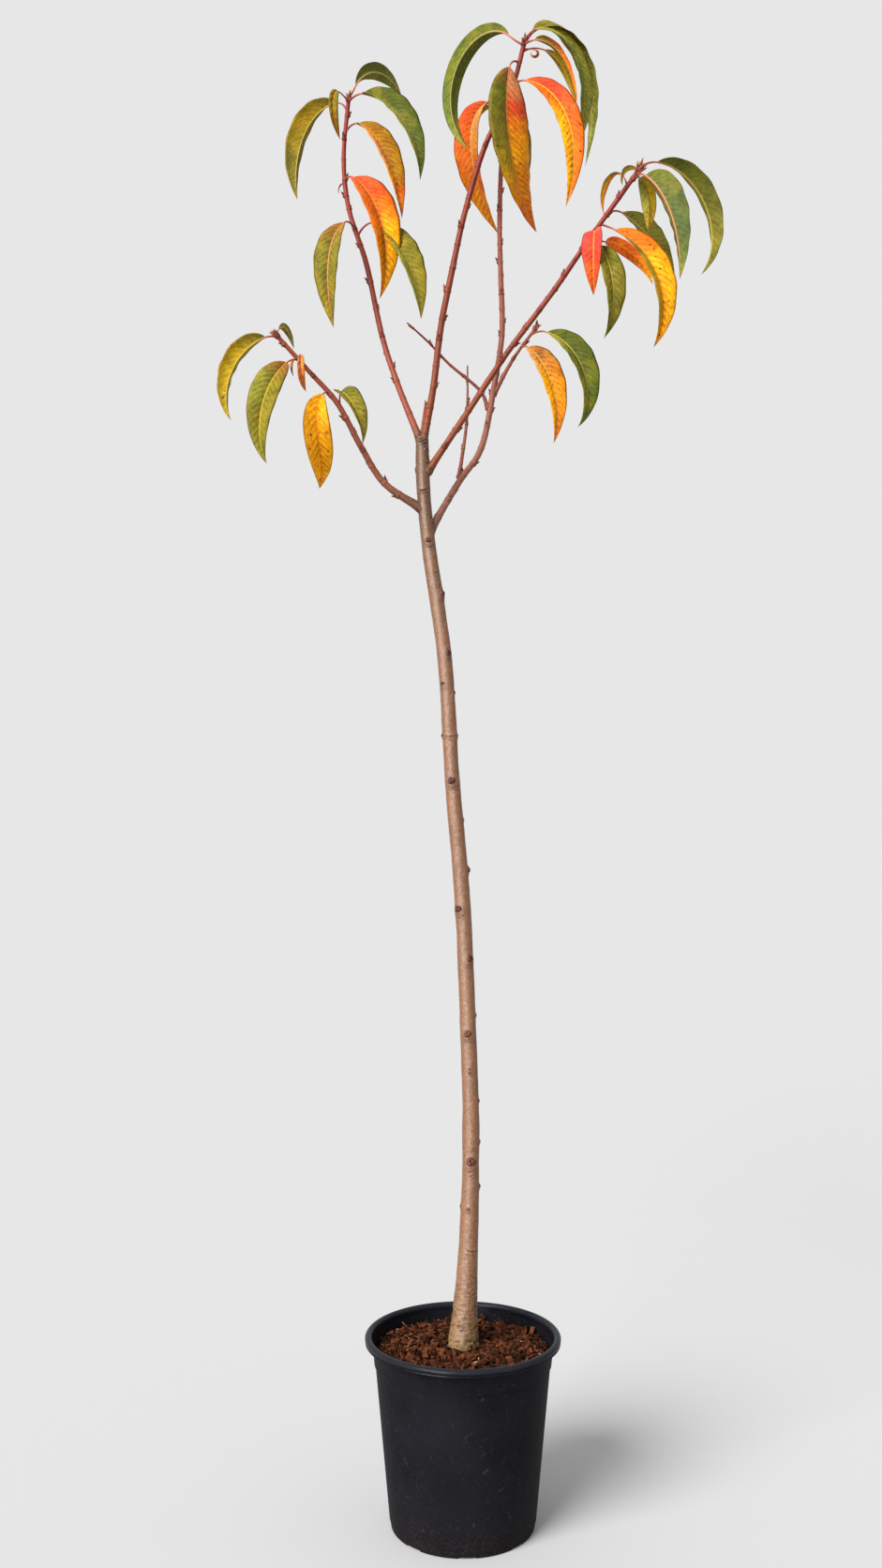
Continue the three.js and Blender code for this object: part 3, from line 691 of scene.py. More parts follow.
def bark_material(bark, name, gloss):
    """Peach bark: speckled and satiny where it is old, smooth and glossy where it is young."""
    s = Shader(name, gloss)
    place = s.attribute("bark_place")
    age, mark, moss = s.split(s.attribute("bark_age"))
    tint = s.attribute("bark_tint", "Color")
    patches = s.noise(s.stretched(place, 1, 1, 0.45), 60, 3).step(0.36, 0.64)
    mottle = s.noise(s.stretched(place, 1, 1, 0.75), 400, 4, 0.7).step(0.43, 0.57)
    grain = s.noise(s.stretched(place, 1, 1, 0.8), 1100, 3, 0.7).step(0.36, 0.64)
    streaks = s.noise(s.stretched(place, 1, 1, 0.1), 420, 3, 0.6).step(0.36, 0.64)
    speckle = s.noise(s.stretched(place, 1, 1, 0.72), 1120, 3, 0.6).step(0.49, 0.59)
    freckles, odds = s.cells(s.stretched(place, 1, 1, 0.75), 340)
    freckle = (freckles + grain * 0.14).fall(0.2, 0.42) * odds.step(0.5, 0.65)
    # Painted highlights: pale glints dotted over the old bark.
    glints, chance = s.cells(s.stretched(place, 1, 1, 0.8), 640)
    glint = (glints + grain * 0.14).fall(0.2, 0.5) * chance.step(0.45, 0.6)
    pores, pick = s.cells(s.stretched(place, 0.55, 0.55, 1.7), 230)
    pore = (pores + grain * 0.06).fall(0.12, 0.28) * pick.step(0.66, 0.72)
    young = 1 - age
    light = (0.8 + patches * 0.16 + mottle * (age * 0.26 + 0.04) + grain * (age * 0.16 + 0.05)
             + streaks * (young * 0.26 + 0.06) - young * 0.02)
    colour = s.lit(tint, light)
    fleck = s.mix(0.5, s.lit(tint, 0.42), bark.fleck)
    colour = s.mix(speckle * (age * 0.68 + 0.02), colour, fleck)
    colour = s.mix(freckle * (age * 0.55 + 0.1), colour, s.lit(fleck, 0.7))
    pale = s.mix(0.5, s.lit(tint, 1.3), bark.bloom)
    colour = s.mix(glint * (age * 0.5 + 0.03), colour, pale)
    colour = s.mix(pore * age * 0.5, colour, bark.fleck)
    colour = s.mix(moss * (0.15 + patches * 0.4 + mottle * 0.45), colour, bark.moss)
    colour = s.mix(mark, colour, bark.mark)
    roughness = 0.44 - age * 0.11 + moss * 0.22 + grain * 0.08 + mark * 0.2
    relief = ((mottle * 0.4 + grain * 0.45 - speckle * 0.3 - pore * 0.4) * (age * 0.85 + 0.1)
              + streaks * 0.12 + glint * 0.14)
    return s.finish(colour, roughness, relief, 0.00018)


def bud_material():
    """Brown scales with a downy grey bloom."""
    s = Shader("bud_scales", gloss=0.08)
    place = s.place()
    tint = s.attribute("bud_tint", "Color")
    scales, _ = s.cells(place, 900)
    down = s.noise(place, 2600, 2)
    colour = s.lit(tint, 0.45 + scales * 0.9 + down * 0.3)
    colour = s.mix(down.step(0.5, 0.7) * 0.3, colour, (0.5, 0.4, 0.32))
    return s.finish(colour, 0.5 + down * 0.25, scales + down * 0.4, 0.0003)


def knob_material():
    """Dark, healed buds on the trunk."""
    s = Shader("healed_buds", gloss=0.2)
    grain = s.noise(s.place(), 700, 3)
    colour = s.lit(s.attribute("bud_tint", "Color"), 0.3 + grain.step(0.3, 0.7) * 0.6)
    return s.finish(colour, 0.26 + grain * 0.2, grain, 0.0003)


def leaf_material(leaf):
    """A peach leaf: each half's autumn tints, veins, mottling, scorched rim and dead spots."""
    s = Shader("peach_leaf", gloss=0.05)
    place, flat = s.attribute("leaf_place"), s.attribute("leaf_flat")
    share, across, under = s.split(s.attribute("leaf_share"))
    spots, rim, _ = s.split(s.attribute("leaf_wear"))
    run, side, _ = s.split(place)
    middle = abs(side)
    tint = s.attribute("leaf_tint", "Color")
    cloud = s.noise(place, 55, 3, 0.5)
    mottle = s.noise(place, 190, 4, 0.6)
    fine = s.noise(place, 700, 3, 0.65)
    course = (run - middle * (across * VEIN_BEND + VEIN_SLANT)) / leaf.vein_gap + mottle * 0.35
    phase = course.fraction()
    gap = 0.5 - abs(phase - 0.5)
    vein = gap.fall(0.03, 0.12) * across.fall(0.5, 1.0)
    # swell runs from -0.5 to 0.5 across each strip between side veins. It raises the relief and
    # paints light and shade on the quilting.
    swell = (phase.step(0.05, 0.75) - 0.5) * across.fall(0.35, 1.0)
    mesh = s.net(flat, 620).fall(0.0, 0.1)
    # Painted light and shade: each strip between side veins is painted darker on one side and
    # lighter on the other.
    light = (0.55 + cloud.step(0.36, 0.64) * 0.24 + mottle.step(0.38, 0.62) * 0.25
             + fine.step(0.36, 0.64) * 0.14 + swell * 0.34)
    colour = s.lit(tint, light)
    warm = s.mix(0.2, colour, leaf.mustard)
    colour = s.mix(cloud.step(0.5, 0.64) * 0.75, colour, warm)
    pale = s.mix(0.55, colour, leaf.cream)
    colour = s.mix(vein * (mottle * 0.5 + 0.04) + mesh * 0.07, colour, pale)
    colour = s.mix(under * 0.05, colour, leaf.cream)
    edge = (across + mottle * 0.14).step(0.94, 1.1) * rim
    colour = s.mix(edge * 0.34, colour, leaf.rust)
    dead, pick = s.cells(flat, 150, "2D")
    dead = dead + (mottle - 0.3) * 0.45 + fine * 0.12
    spot = dead.fall(0.2, 0.27) * (pick + spots * 0.45).step(1.0, 1.02)
    halo = dead.fall(0.2, 0.44) * (pick + spots * 0.5).step(1.0, 1.06)
    flecks, odds = s.cells(flat, 330, "2D")
    fleck = (flecks + fine * 0.2).fall(0.22, 0.36) * (odds + spots * 0.42).step(1.0, 1.02)
    colour = s.mix(halo * 0.4 + fleck * 0.5, colour, leaf.rust)
    colour = s.mix(spot * 0.85, colour, leaf.scorch)
    tip = (share + mottle * 0.06).step(0.965, 1.01)
    colour = s.mix(tip * 0.6, colour, leaf.rust)
    rib = middle.fall(0.0004, 0.001) * share.fall(0.75, 1.0)
    colour = s.mix(rib * 0.85, colour, s.attribute("leaf_rib", "Color"))
    roughness = 0.36 + mottle * 0.16 + under * 0.14 + spot * 0.25
    relief = swell * 0.5 + mottle * 0.4 - vein * 0.5 + fine * 0.3 - mesh * 0.12 - spot * 0.4
    return s.finish(colour, roughness, relief, 0.0006)


def stalk_material():
    """Leaf stalks and the midribs that carry on from them."""
    s = Shader("leaf_stalk", gloss=0.12)
    place = s.place()
    fine = s.noise(place, 1200, 3)
    colour = s.lit(s.attribute("stalk_tint", "Color"), 0.72 + fine * 0.5)
    return s.finish(colour, 0.42 + fine * 0.15, fine, 0.00015)


# ---- Modelling ----


def deselect():
    """Leaves nothing selected."""
    bpy.ops.object.select_all(action="DESELECT")


def take(piece):
    """Makes a piece the only selected and the active one."""
    deselect()
    piece.select_set(True)
    bpy.context.view_layer.objects.active = piece


def points_of(piece):
    """A piece's points as rows, in metres."""
    flat = np.empty(len(piece.data.vertices) * 3)
    piece.data.vertices.foreach_get("co", flat)
    return flat.reshape(-1, 3)


def set_points(piece, rows):
    """Moves a piece's points to rows in millimetres."""
    piece.data.vertices.foreach_set("co", (rows * MM).astype(np.float32).ravel())
    piece.data.update()


def keep(piece, name, values):
    """Stores a vector for each vertex under a name."""
    rows = np.column_stack(np.broadcast_arrays(*values)) if isinstance(values, tuple) else values
    made = piece.data.attributes.new(name, "FLOAT_VECTOR", "POINT")
    made.data.foreach_set("vector", rows.astype(np.float32).ravel())


def tint(piece, name, rows):
    """Stores a colour for each vertex under a name."""
    made = piece.data.color_attributes.new(name, "FLOAT_COLOR", "POINT")
    full = np.column_stack([rows, np.ones(len(rows))])
    made.data.foreach_set("color", full.astype(np.float32).ravel())


def flat_grid(name, columns, rows):
    """A flat grid, with the shares across and along it of each vertex."""
    deselect()
    bpy.ops.mesh.primitive_grid_add(x_subdivisions=columns, y_subdivisions=rows, size=1)
    piece = bpy.context.object
    piece.name = piece.data.name = name
    flat = points_of(piece)
    return piece, flat[:, 0] + 0.5, flat[:, 1] + 0.5


def edit_all(piece, *steps):
    """Takes each step, an operator of bpy.ops.mesh and its settings, on a whole piece."""
    take(piece)
    bpy.ops.object.mode_set(mode="EDIT")
    for operator, settings in steps:
        bpy.ops.mesh.select_all(action="SELECT")
        getattr(bpy.ops.mesh, operator)(**settings)
    bpy.ops.object.mode_set(mode="OBJECT")


SEAM, POT_SEAM = 2e-7, 1e-6  # points closer than this many metres are joined


def close(piece, gap):
    """Joins points closer than a gap in metres, and turns all faces outwards."""
    edit_all(piece, ("remove_doubles", {"threshold": gap}),
             ("normals_make_consistent", {"inside": False}))


def weld(piece):
    """Closes a rolled grid's seam and ends, and shades it smooth."""
    close(piece, SEAM)
    bpy.ops.object.shade_smooth()


def joined(name, pieces):
    """One piece from several, which keep their named values."""
    deselect()
    for piece in pieces:
        piece.select_set(True)
    bpy.context.view_layer.objects.active = pieces[0]
    if len(pieces) > 1:
        bpy.ops.object.join()
    piece = bpy.context.object
    piece.name = piece.data.name = name
    return piece


def dress(piece, material, slot, *nodes):
    """Gives a finished piece its material, hides the nodes that it stands for and hangs it on the
    root. slot is not used.
    """
    piece.data.materials.clear()
    piece.data.materials.append(material)
    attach(piece, "root")
    if nodes:
        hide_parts(*nodes)


def rough(rows, scale, detail=3):
    """Smooth random numbers about -1 to 1 at points in millimetres, scale millimetres wide."""
    return np.array([noise.fractal(Vector(p), 1.0, 2.0, detail) for p in rows / scale])


def new_piece(name, points, edges, faces):
    """A piece of points in millimetres, edges and faces."""
    mesh = bpy.data.meshes.new(name)
    mesh.from_pydata((np.array(points) * MM).tolist(), edges, faces)
    piece = bpy.data.objects.new(name, mesh)
    bpy.context.collection.objects.link(piece)
    return piece


def scattered(name, form, places, axes):
    """One piece of many copies of a form, at places and turned and sized by axes."""
    rows, faces = form
    count = len(places)
    points = (np.einsum("vk,nkj->nvj", rows, axes) + places[:, None]).reshape(-1, 3)
    corners = (faces[None] + np.arange(count)[:, None, None] * len(rows)).reshape(-1, 3)
    return new_piece(name, points, [], corners.tolist())


def form_of(piece):
    """A modelled form's points and triangles, and the form is then removed."""
    edit_all(piece, ("quads_convert_to_tris", {}))
    rows = points_of(piece)
    faces = np.array([list(face.vertices) for face in piece.data.polygons])
    bpy.data.objects.remove(piece)
    return rows, faces


# ---- Pot and compost ----


# The notches in the pot's foot and the drain holes beside them, sizes in metres.
NOTCHES, NOTCH_ANGLE = 8, -88
NOTCH_SIZE = (0.018, 0.02, 0.0044)
DRAIN_RADIUS, DRAIN_PLACE, DRAIN_DEPTH = 0.005, 0.06, 0.012
POT_SIDES = 160
BED_RINGS, BED_SIDES = 90, 220
BED_RADIUS, BED_DEPTH = 97.6, 26
LOOSE_SEED, LOOSE_MARGIN = 11, 3.5  # of the loose bits, and how far from the wall they stay
LOOSE_TILT = 0.42  # how unevenly they lie, in radians


def wall_radius(pot, z):
    """The wall's outer radius at a height, both in millimetres."""
    foot = pot.foot_step if z < pot.foot_height / MM else 0
    band = pot.step if z >= pot.band_height / MM else 0
    return (pot.base_radius - foot + band) / MM + pot.flare * z


def arc(centre, reach, start, end, steps):
    """Points of a profile along part of an ellipse."""
    turns = np.radians(np.linspace(start, end, steps))
    return [(centre[0] + reach[0] * math.cos(a), centre[1] + reach[1] * math.sin(a))
            for a in turns]


def pot_profile(pot):
    """Radius and height of the pot's points, from its underside over the lip to its floor."""
    top, lip, width = pot.height / MM, pot.lip_radius / MM, pot.lip_width / MM
    under = top - pot.lip_height / MM
    foot, band, floor = pot.foot_height / MM, pot.band_height / MM, pot.floor / MM
    inner = pot.wall / MM + pot.foot_step / MM
    rest = np.linspace(foot + 1.2, band - 1.6, 9)
    return [
        (0, 0), (30, 0), (60, 0), (wall_radius(pot, 0) - 2, 0),
        *arc((wall_radius(pot, 0) - 2, 2), (2, 2), -75, 0, 5),
        (wall_radius(pot, foot - 0.8), foot - 0.8),
        (wall_radius(pot, foot - 0.4), foot - 0.4),
        (wall_radius(pot, foot), foot + 0.3),
        *[(wall_radius(pot, z), z) for z in rest],
        (wall_radius(pot, band - 0.7), band - 0.9),
        (wall_radius(pot, band - 0.5) - 0.25, band - 0.45),
        (wall_radius(pot, band) - 0.35, band),
        (wall_radius(pot, band), band + 0.4),
        (wall_radius(pot, band + 1), band + 1),
        (wall_radius(pot, under - 1.2), under - 1.2),
        (wall_radius(pot, under - 1.2) + 0.5, under - 0.3),
        (lip - 1.4, under), *arc((lip - 1.3, under + 0.9), (0.9, 0.9), -90, 60, 6),
        (lip - 1.1, under + 2.1),
        *arc((lip - width / 2, top - 3.6), (width / 2, 3.6), -20, 190, 22),
        (wall_radius(pot, band) - inner + 0.8, band + 4),
        (wall_radius(pot, band) - inner, band),
        (wall_radius(pot, band - 2) - inner + pot.foot_step / MM, band - 2),
        (wall_radius(pot, floor) - inner, floor), (30, floor), (0, floor),
    ]


def build_pot(pot):
    """The pot: its profile turned round, with notches and drain holes cut out."""
    profile = pot_profile(pot)
    piece = new_piece("nursery_pot", [(r, 0, z) for r, z in profile],
                      [(i, i + 1) for i in range(len(profile) - 1)], [])
    edit_all(piece, ("spin", {
        "steps": POT_SIDES, "angle": TURN, "center": (0, 0, 0), "axis": (0, 0, 1)}))
    close(piece, POT_SEAM)
    cutters = []
    for i in range(NOTCHES):
        angle = math.radians(NOTCH_ANGLE) + TURN * i / NOTCHES
        out = Vector((math.cos(angle), math.sin(angle), 0))
        deselect()
        bpy.ops.mesh.primitive_cube_add(
            size=1, location=out * pot.base_radius, rotation=(0, 0, angle), scale=NOTCH_SIZE)
        cutters.append(bpy.context.object)
        bpy.ops.mesh.primitive_cylinder_add(
            vertices=20, radius=DRAIN_RADIUS, depth=DRAIN_DEPTH, location=out * DRAIN_PLACE)
        cutters.append(bpy.context.object)
    cutter = joined("cutter", cutters)
    take(piece)
    modifier = piece.modifiers.new("Notches and drains", "BOOLEAN")
    modifier.object, modifier.operation, modifier.solver = cutter, "DIFFERENCE", "EXACT"
    bpy.ops.object.modifier_apply(modifier=modifier.name)
    bpy.data.objects.remove(cutter)
    bpy.ops.object.shade_smooth_by_angle(angle=math.radians(40))
    dress(piece, plastic_material(pot), "pot_plastic", "pot")


def bed_height(compost, radius, bearing):
    """Height of the compost's uneven top, in millimetres."""
    top, edge = compost.top / MM, compost.edge_top / MM
    level = np.interp(radius, [0, 45, 97], [top, top, edge])
    spots = round_points(radius, bearing, 0)
    return level - 1.2 + 1.3 * rough(spots, 22) + 0.9 * rough(spots, 5, 4)


def scatter(compost, material, draws, name, count, sizes, thin, pile):
    """Loose bits on the bed: sizes from and to, thin their thickness, pile how high they lie."""
    radius = np.sqrt(draws.uniform(0.03, 1, count)) * (BED_RADIUS - LOOSE_MARGIN)
    bearing = draws.uniform(0, TURN, count)
    low, high = sizes
    size = low + (high - low) * draws.uniform(0, 1, count) ** 2.2
    size = size * np.minimum(1, 0.55 + radius / 60)
    width = size * draws.uniform(0.25, 0.65, count)
    thick = np.maximum(size * thin * draws.uniform(0.5, 1.2, count), 0.5)
    tilt, lean = draws.normal(0, LOOSE_TILT, (2, count))
    spin = draws.uniform(0, TURN, count)
    along = direction(spin, tilt)
    side = np.stack([-np.sin(spin) * np.cos(lean), np.cos(spin) * np.cos(lean), np.sin(lean)],
                    axis=-1)
    over = unit(np.cross(along, side))
    axes = np.stack([along * size[:, None], side * width[:, None], over * thick[:, None]], axis=1)
    rise = bed_height(compost, radius, bearing) + thick * 0.3 + np.abs(np.sin(tilt)) * size * 0.22
    rise = rise + draws.uniform(0, pile, count)
    bpy.ops.mesh.primitive_cube_add(size=1)
    form = form_of(bpy.context.object)
    piece = scattered(name, form, round_points(radius, bearing, rise), axes)
    rows = points_of(piece) / MM
    corner = np.repeat(size, len(form[0]))[:, None]
    set_points(piece, rows + draws.normal(0, 0.085, rows.shape) * corner * [1, 1, 0.5])
    shade = draws.uniform(0, 1, count)[:, None]
    peat, bark, wood = (np.array(c) for c in (compost.peat, compost.bark, compost.wood))
    colours = peat + (bark * 1.25 - peat) * np.minimum(1, shade * 1.15) ** 1.6
    pale = (shade > 0.96) & (size[:, None] < 6)
    colours = np.where(pale, wood * draws.uniform(0.6, 1.3, (count, 1)), colours)
    tint(piece, "chip_tint", np.repeat(colours, len(form[0]), axis=0))
    dress(piece, material, "compost")


def build_compost(compost):
    """The bed of peat with its bark chips and crumbs."""
    material = compost_material()
    piece, turn, share = flat_grid("compost_bed", BED_SIDES, BED_RINGS)
    radius = np.interp(share, [0, 0.06, 0.1, 1], [0, BED_RADIUS - 1.6, BED_RADIUS, 0])
    bearing = TURN * turn
    height = np.where(share < 0.08, compost.top / MM - BED_DEPTH,
                      bed_height(compost, radius, bearing))
    set_points(piece, round_points(radius, bearing, height))
    tint(piece, "chip_tint", np.tile(compost.peat, (len(share), 1)) * 1.3)
    weld(piece)
    dress(piece, material, "compost", "compost")
    draws = np.random.default_rng(LOOSE_SEED)
    scatter(compost, material, draws, "bark_chips", compost.chips, (2.6, 10.5), 0.2, 2.2)
    scatter(compost, material, draws, "peat_crumbs", compost.crumbs, (1, 2.8), 0.6, 0)


# ---- Trunk, boughs and buds ----


GAP = 0.3  # between a bough and its spray
ROOT = 10  # how far a limb starts inside what bears it
ROOT_DROP = 2.4  # how much lower it starts, in radii of its foot
BARK_SEED, SHADE_SEED, SHADES = 40, 5, (0.6, 1.5)
TWIG, BOUGH = 2.5, 3  # at the foot, twigs are slimmer and boughs thicker than this
LIMB_ROW, BOUGH_COLUMNS, TWIG_COLUMNS = 0.85, 28, 18
TRUNK_ROWS, TRUNK_COLUMNS = 1000, 96
BROWN_BARKS = ("grey", "russet")  # colours of limbs without a browner foot
PAINTED_LIGHT_SIDE = math.radians(-118)  # the bearing on which the bark is painted palest, as lit from the key lamp's side
PAINTED_HIGHLIGHT_SIDE = math.radians(-106)  # the bearing of the trunk's painted highlight, a paler streak down its length


def bud_rows(limbs):
    """Buds of every spray by the rule of the solids: share, turn and size, for each limb."""
    roll = dice(BUD_SEED)
    rows = {}
    for name in SPRAYS:
        limb, buds, turn = limbs[name], [], 0.0
        share = BUD_SPACING / limb.length
        t = share + (limb.to + GAP / limb.length if limb.to else 0)
        while t < 1:
            turn += math.radians(BUD_TURN)
            buds.append((t, turn, 0.7 + 0.5 * roll()))
            t += share * (0.7 + 0.6 * roll())
        tips = []
        for _ in range(TIP_BUDS):
            t = 1 - TIP_BUD_FROM * roll() / limb.length
            turn += TURN / TIP_BUDS
            tips.append((t, turn, TIP_BUD_SIZE))
        rows[name] = buds, tips
    return rows


def bough_buds(limb, roll):
    """Buds on the part of a limb below its spray, and on bare twigs."""
    buds, turn = [], TURN * roll()
    share = BUD_SPACING / limb.length
    t = share * (0.9 + 0.6 * roll())
    end = min(limb.to, 0.97)
    while t < end:
        turn += math.radians(BUD_TURN)
        buds.append((t, turn, 0.6 + 0.5 * roll()))
        t += share * (0.65 + 0.6 * roll())
    return buds


class Skin:
    """The relief and the dark marks on a limb, by distance along it and turn round it."""

    def __init__(self, distance, turn, radius):
        self.distance, self.turn, self.radius = distance, turn, radius
        self.relief, self.mark = np.zeros((2, len(distance)))

    def bump(self, at, bearing, length, width, waver=0):
        """A soft rise of 1, length along the limb by width round it, in millimetres."""
        apart = (self.turn - bearing + math.pi) % TURN - math.pi
        return np.exp(-(((self.distance + waver - at) / length) ** 2)
                      - (apart * self.radius / width) ** 2)

    def raise_by(self, height, *place):
        """Raises the skin at a place, which is what bump takes."""
        self.relief += height * self.bump(*place)

    def darken(self, amount, *place):
        """Darkens the skin at a place, unless it is darker already."""
        self.mark = np.maximum(self.mark, amount * self.bump(*place))


def dome(depth):
    """How far a rounded end reaches out, at depths of 0 to 1 from its tip."""
    return np.sqrt(1 - (1 - depth) ** 2)


def blend(first, second, share):
    """Colours between two, by share."""
    return np.array(first) * (1 - share) + np.array(second) * share


def on_painted_light_side(outward):
    """1 where the skin faces the side that is painted lit, -1 where it faces away."""
    return np.cos(np.arctan2(outward[:, 1], outward[:, 0]) - PAINTED_LIGHT_SIDE)[:, None]


def hub_of(name, limb):
    """Where a limb's root ends: inside the nearest limb, a little lower than its own foot."""
    start = limb.at(np.array(0.0)) - [0, 0, ROOT_DROP * limb.foot]
    shares, nearest, hub = np.linspace(0, 1, 801), math.inf, None
    for other, bearer in LIMBS.items():
        if other == name or (other == "trunk" and limb.foot < TWIG):
            continue
        points = bearer.at(shares)
        gaps = np.linalg.norm(points - start, axis=1) - bearer.radius(shares)
        k = int(np.argmin(gaps))
        if gaps[k] < nearest:
            nearest, hub = gaps[k], points[k]
    return hub


def limb_skin(name, limb, buds, bark, seed):
    """A limb rooted inside what bears it, with a leaf cushion under each bud."""
    whole = limb.length + ROOT
    columns = BOUGH_COLUMNS if limb.foot > BOUGH else TWIG_COLUMNS
    piece, turn_share, share = flat_grid(f"{name}_bark", columns, int(whole / LIMB_ROW))
    turn, distance = TURN * turn_share, share * whole - ROOT
    t = np.clip(distance / limb.length, 0, 1)
    twig = limb.foot < TWIG
    plump = 0.4 if twig else 0.5 * t - 0.15
    collar = (0.9 if twig else 1) * np.exp(-np.maximum(distance, 0) / limb.foot / 1.6)
    inward = np.clip(-distance / ROOT, 0, 1)
    radius = (limb.radius(t) + plump + collar) * (1 - 0.4 * inward)
    across, over = limb.cross(t)
    outward = spoke(across, over, turn)
    skin = Skin(distance, turn, radius)
    # A leaf cushion, a ring and two dark scars at each bud.
    for place, bearing, size in buds:
        at = place * limb.length
        skin.raise_by(1.5 * size, at - 0.8, bearing, 2.3, 2.3)
        skin.relief += 0.42 * size * np.exp(-(((distance - at + 1.2) / 1.2) ** 2))
        skin.darken(0.8, at + 0.6, bearing, 1.3, 1.8)
        skin.darken(0.5, at - 2.6, bearing, 0.6, 2.4)
    # Small warts all along, and broken rings near the foot.
    draws = np.random.default_rng(seed + BARK_SEED)
    for at in np.arange(limb.foot * 2, limb.length * 0.97, 8.5) + draws.uniform(0, 6):
        at, bearing = at + draws.uniform(-3, 3), TURN * draws.uniform()
        place = at, bearing, 0.8, draws.uniform(0.8, 2.6)
        skin.raise_by(draws.uniform(0.15, 0.5), *place)
        skin.darken(draws.uniform(0.2, 0.7), *place)
    for step in np.cumsum(draws.uniform(1.5, 4.5, 6)):
        at, half = limb.foot * step, draws.uniform(1.5, 5)
        place = at, TURN * draws.uniform(), 0.9, half, 0.6 * np.sin(2 * turn + step)
        skin.raise_by(draws.uniform(-0.1, 0.45) * min(1, limb.foot / 4), *place)
        skin.darken(0.4, *place)
    straight = round_points(radius, turn, distance + 37 * seed)
    aged = np.clip(1.3 - distance / max(limb.seasoned, 0.1), 0, 1)
    worn = np.clip(0.55 * aged, 0.08, 1)
    skin.relief += rough(straight * [1, 1, 0.3], 11) * 0.26
    skin.relief += rough(straight * [1, 1, 0.5], 3.2) * (0.03 + 0.14 * worn)
    skin.relief *= np.minimum(1, radius / 2.2)
    end = np.clip((1 - t) * limb.length / radius, 0, 1)
    root = np.clip((distance + ROOT) / ROOT, 0, 1)
    reach = ((radius + skin.relief) * (dome(end) * dome(root)))[:, None]
    middle = limb.at(t) + (hub_of(name, limb) - limb.at(0 * t)) * inward[:, None]
    set_points(piece, middle + reach * outward)
    keep(piece, "bark_place", straight * MM)
    # Painted shade where the limb meets what bears it.
    painted_joint_shade = np.exp(-(((distance - limb.foot * 0.9) / limb.foot / 0.6) ** 2))
    painted_joint_shade *= 0.4 if twig else 0.8
    painted_joint_shade *= np.clip(0.45 + 1.6 * rough(straight, 2.4, 2), 0, 1)
    mark = np.clip(np.maximum(skin.mark, painted_joint_shade), 0, 1)
    keep(piece, "bark_age", (worn, mark, 0 * mark))
    fade = np.clip(t * 1.4 - 0.1, 0, 1)[:, None]
    colours = blend(getattr(bark, limb.old), getattr(bark, limb.young), fade)
    # Painted light: limbs are painted lighter on their upper side and on the side towards the key
    # lamp.
    colours = colours * (1 + 0.15 * outward[:, 2:] + 0.1 * on_painted_light_side(outward))
    shift = aged[:, None] ** 1.5 * (0 if limb.old in BROWN_BARKS else 0.85)
    tint(piece, "bark_tint", colours + (np.array(bark.umber) - colours) * shift)
    weld(piece)
    return piece


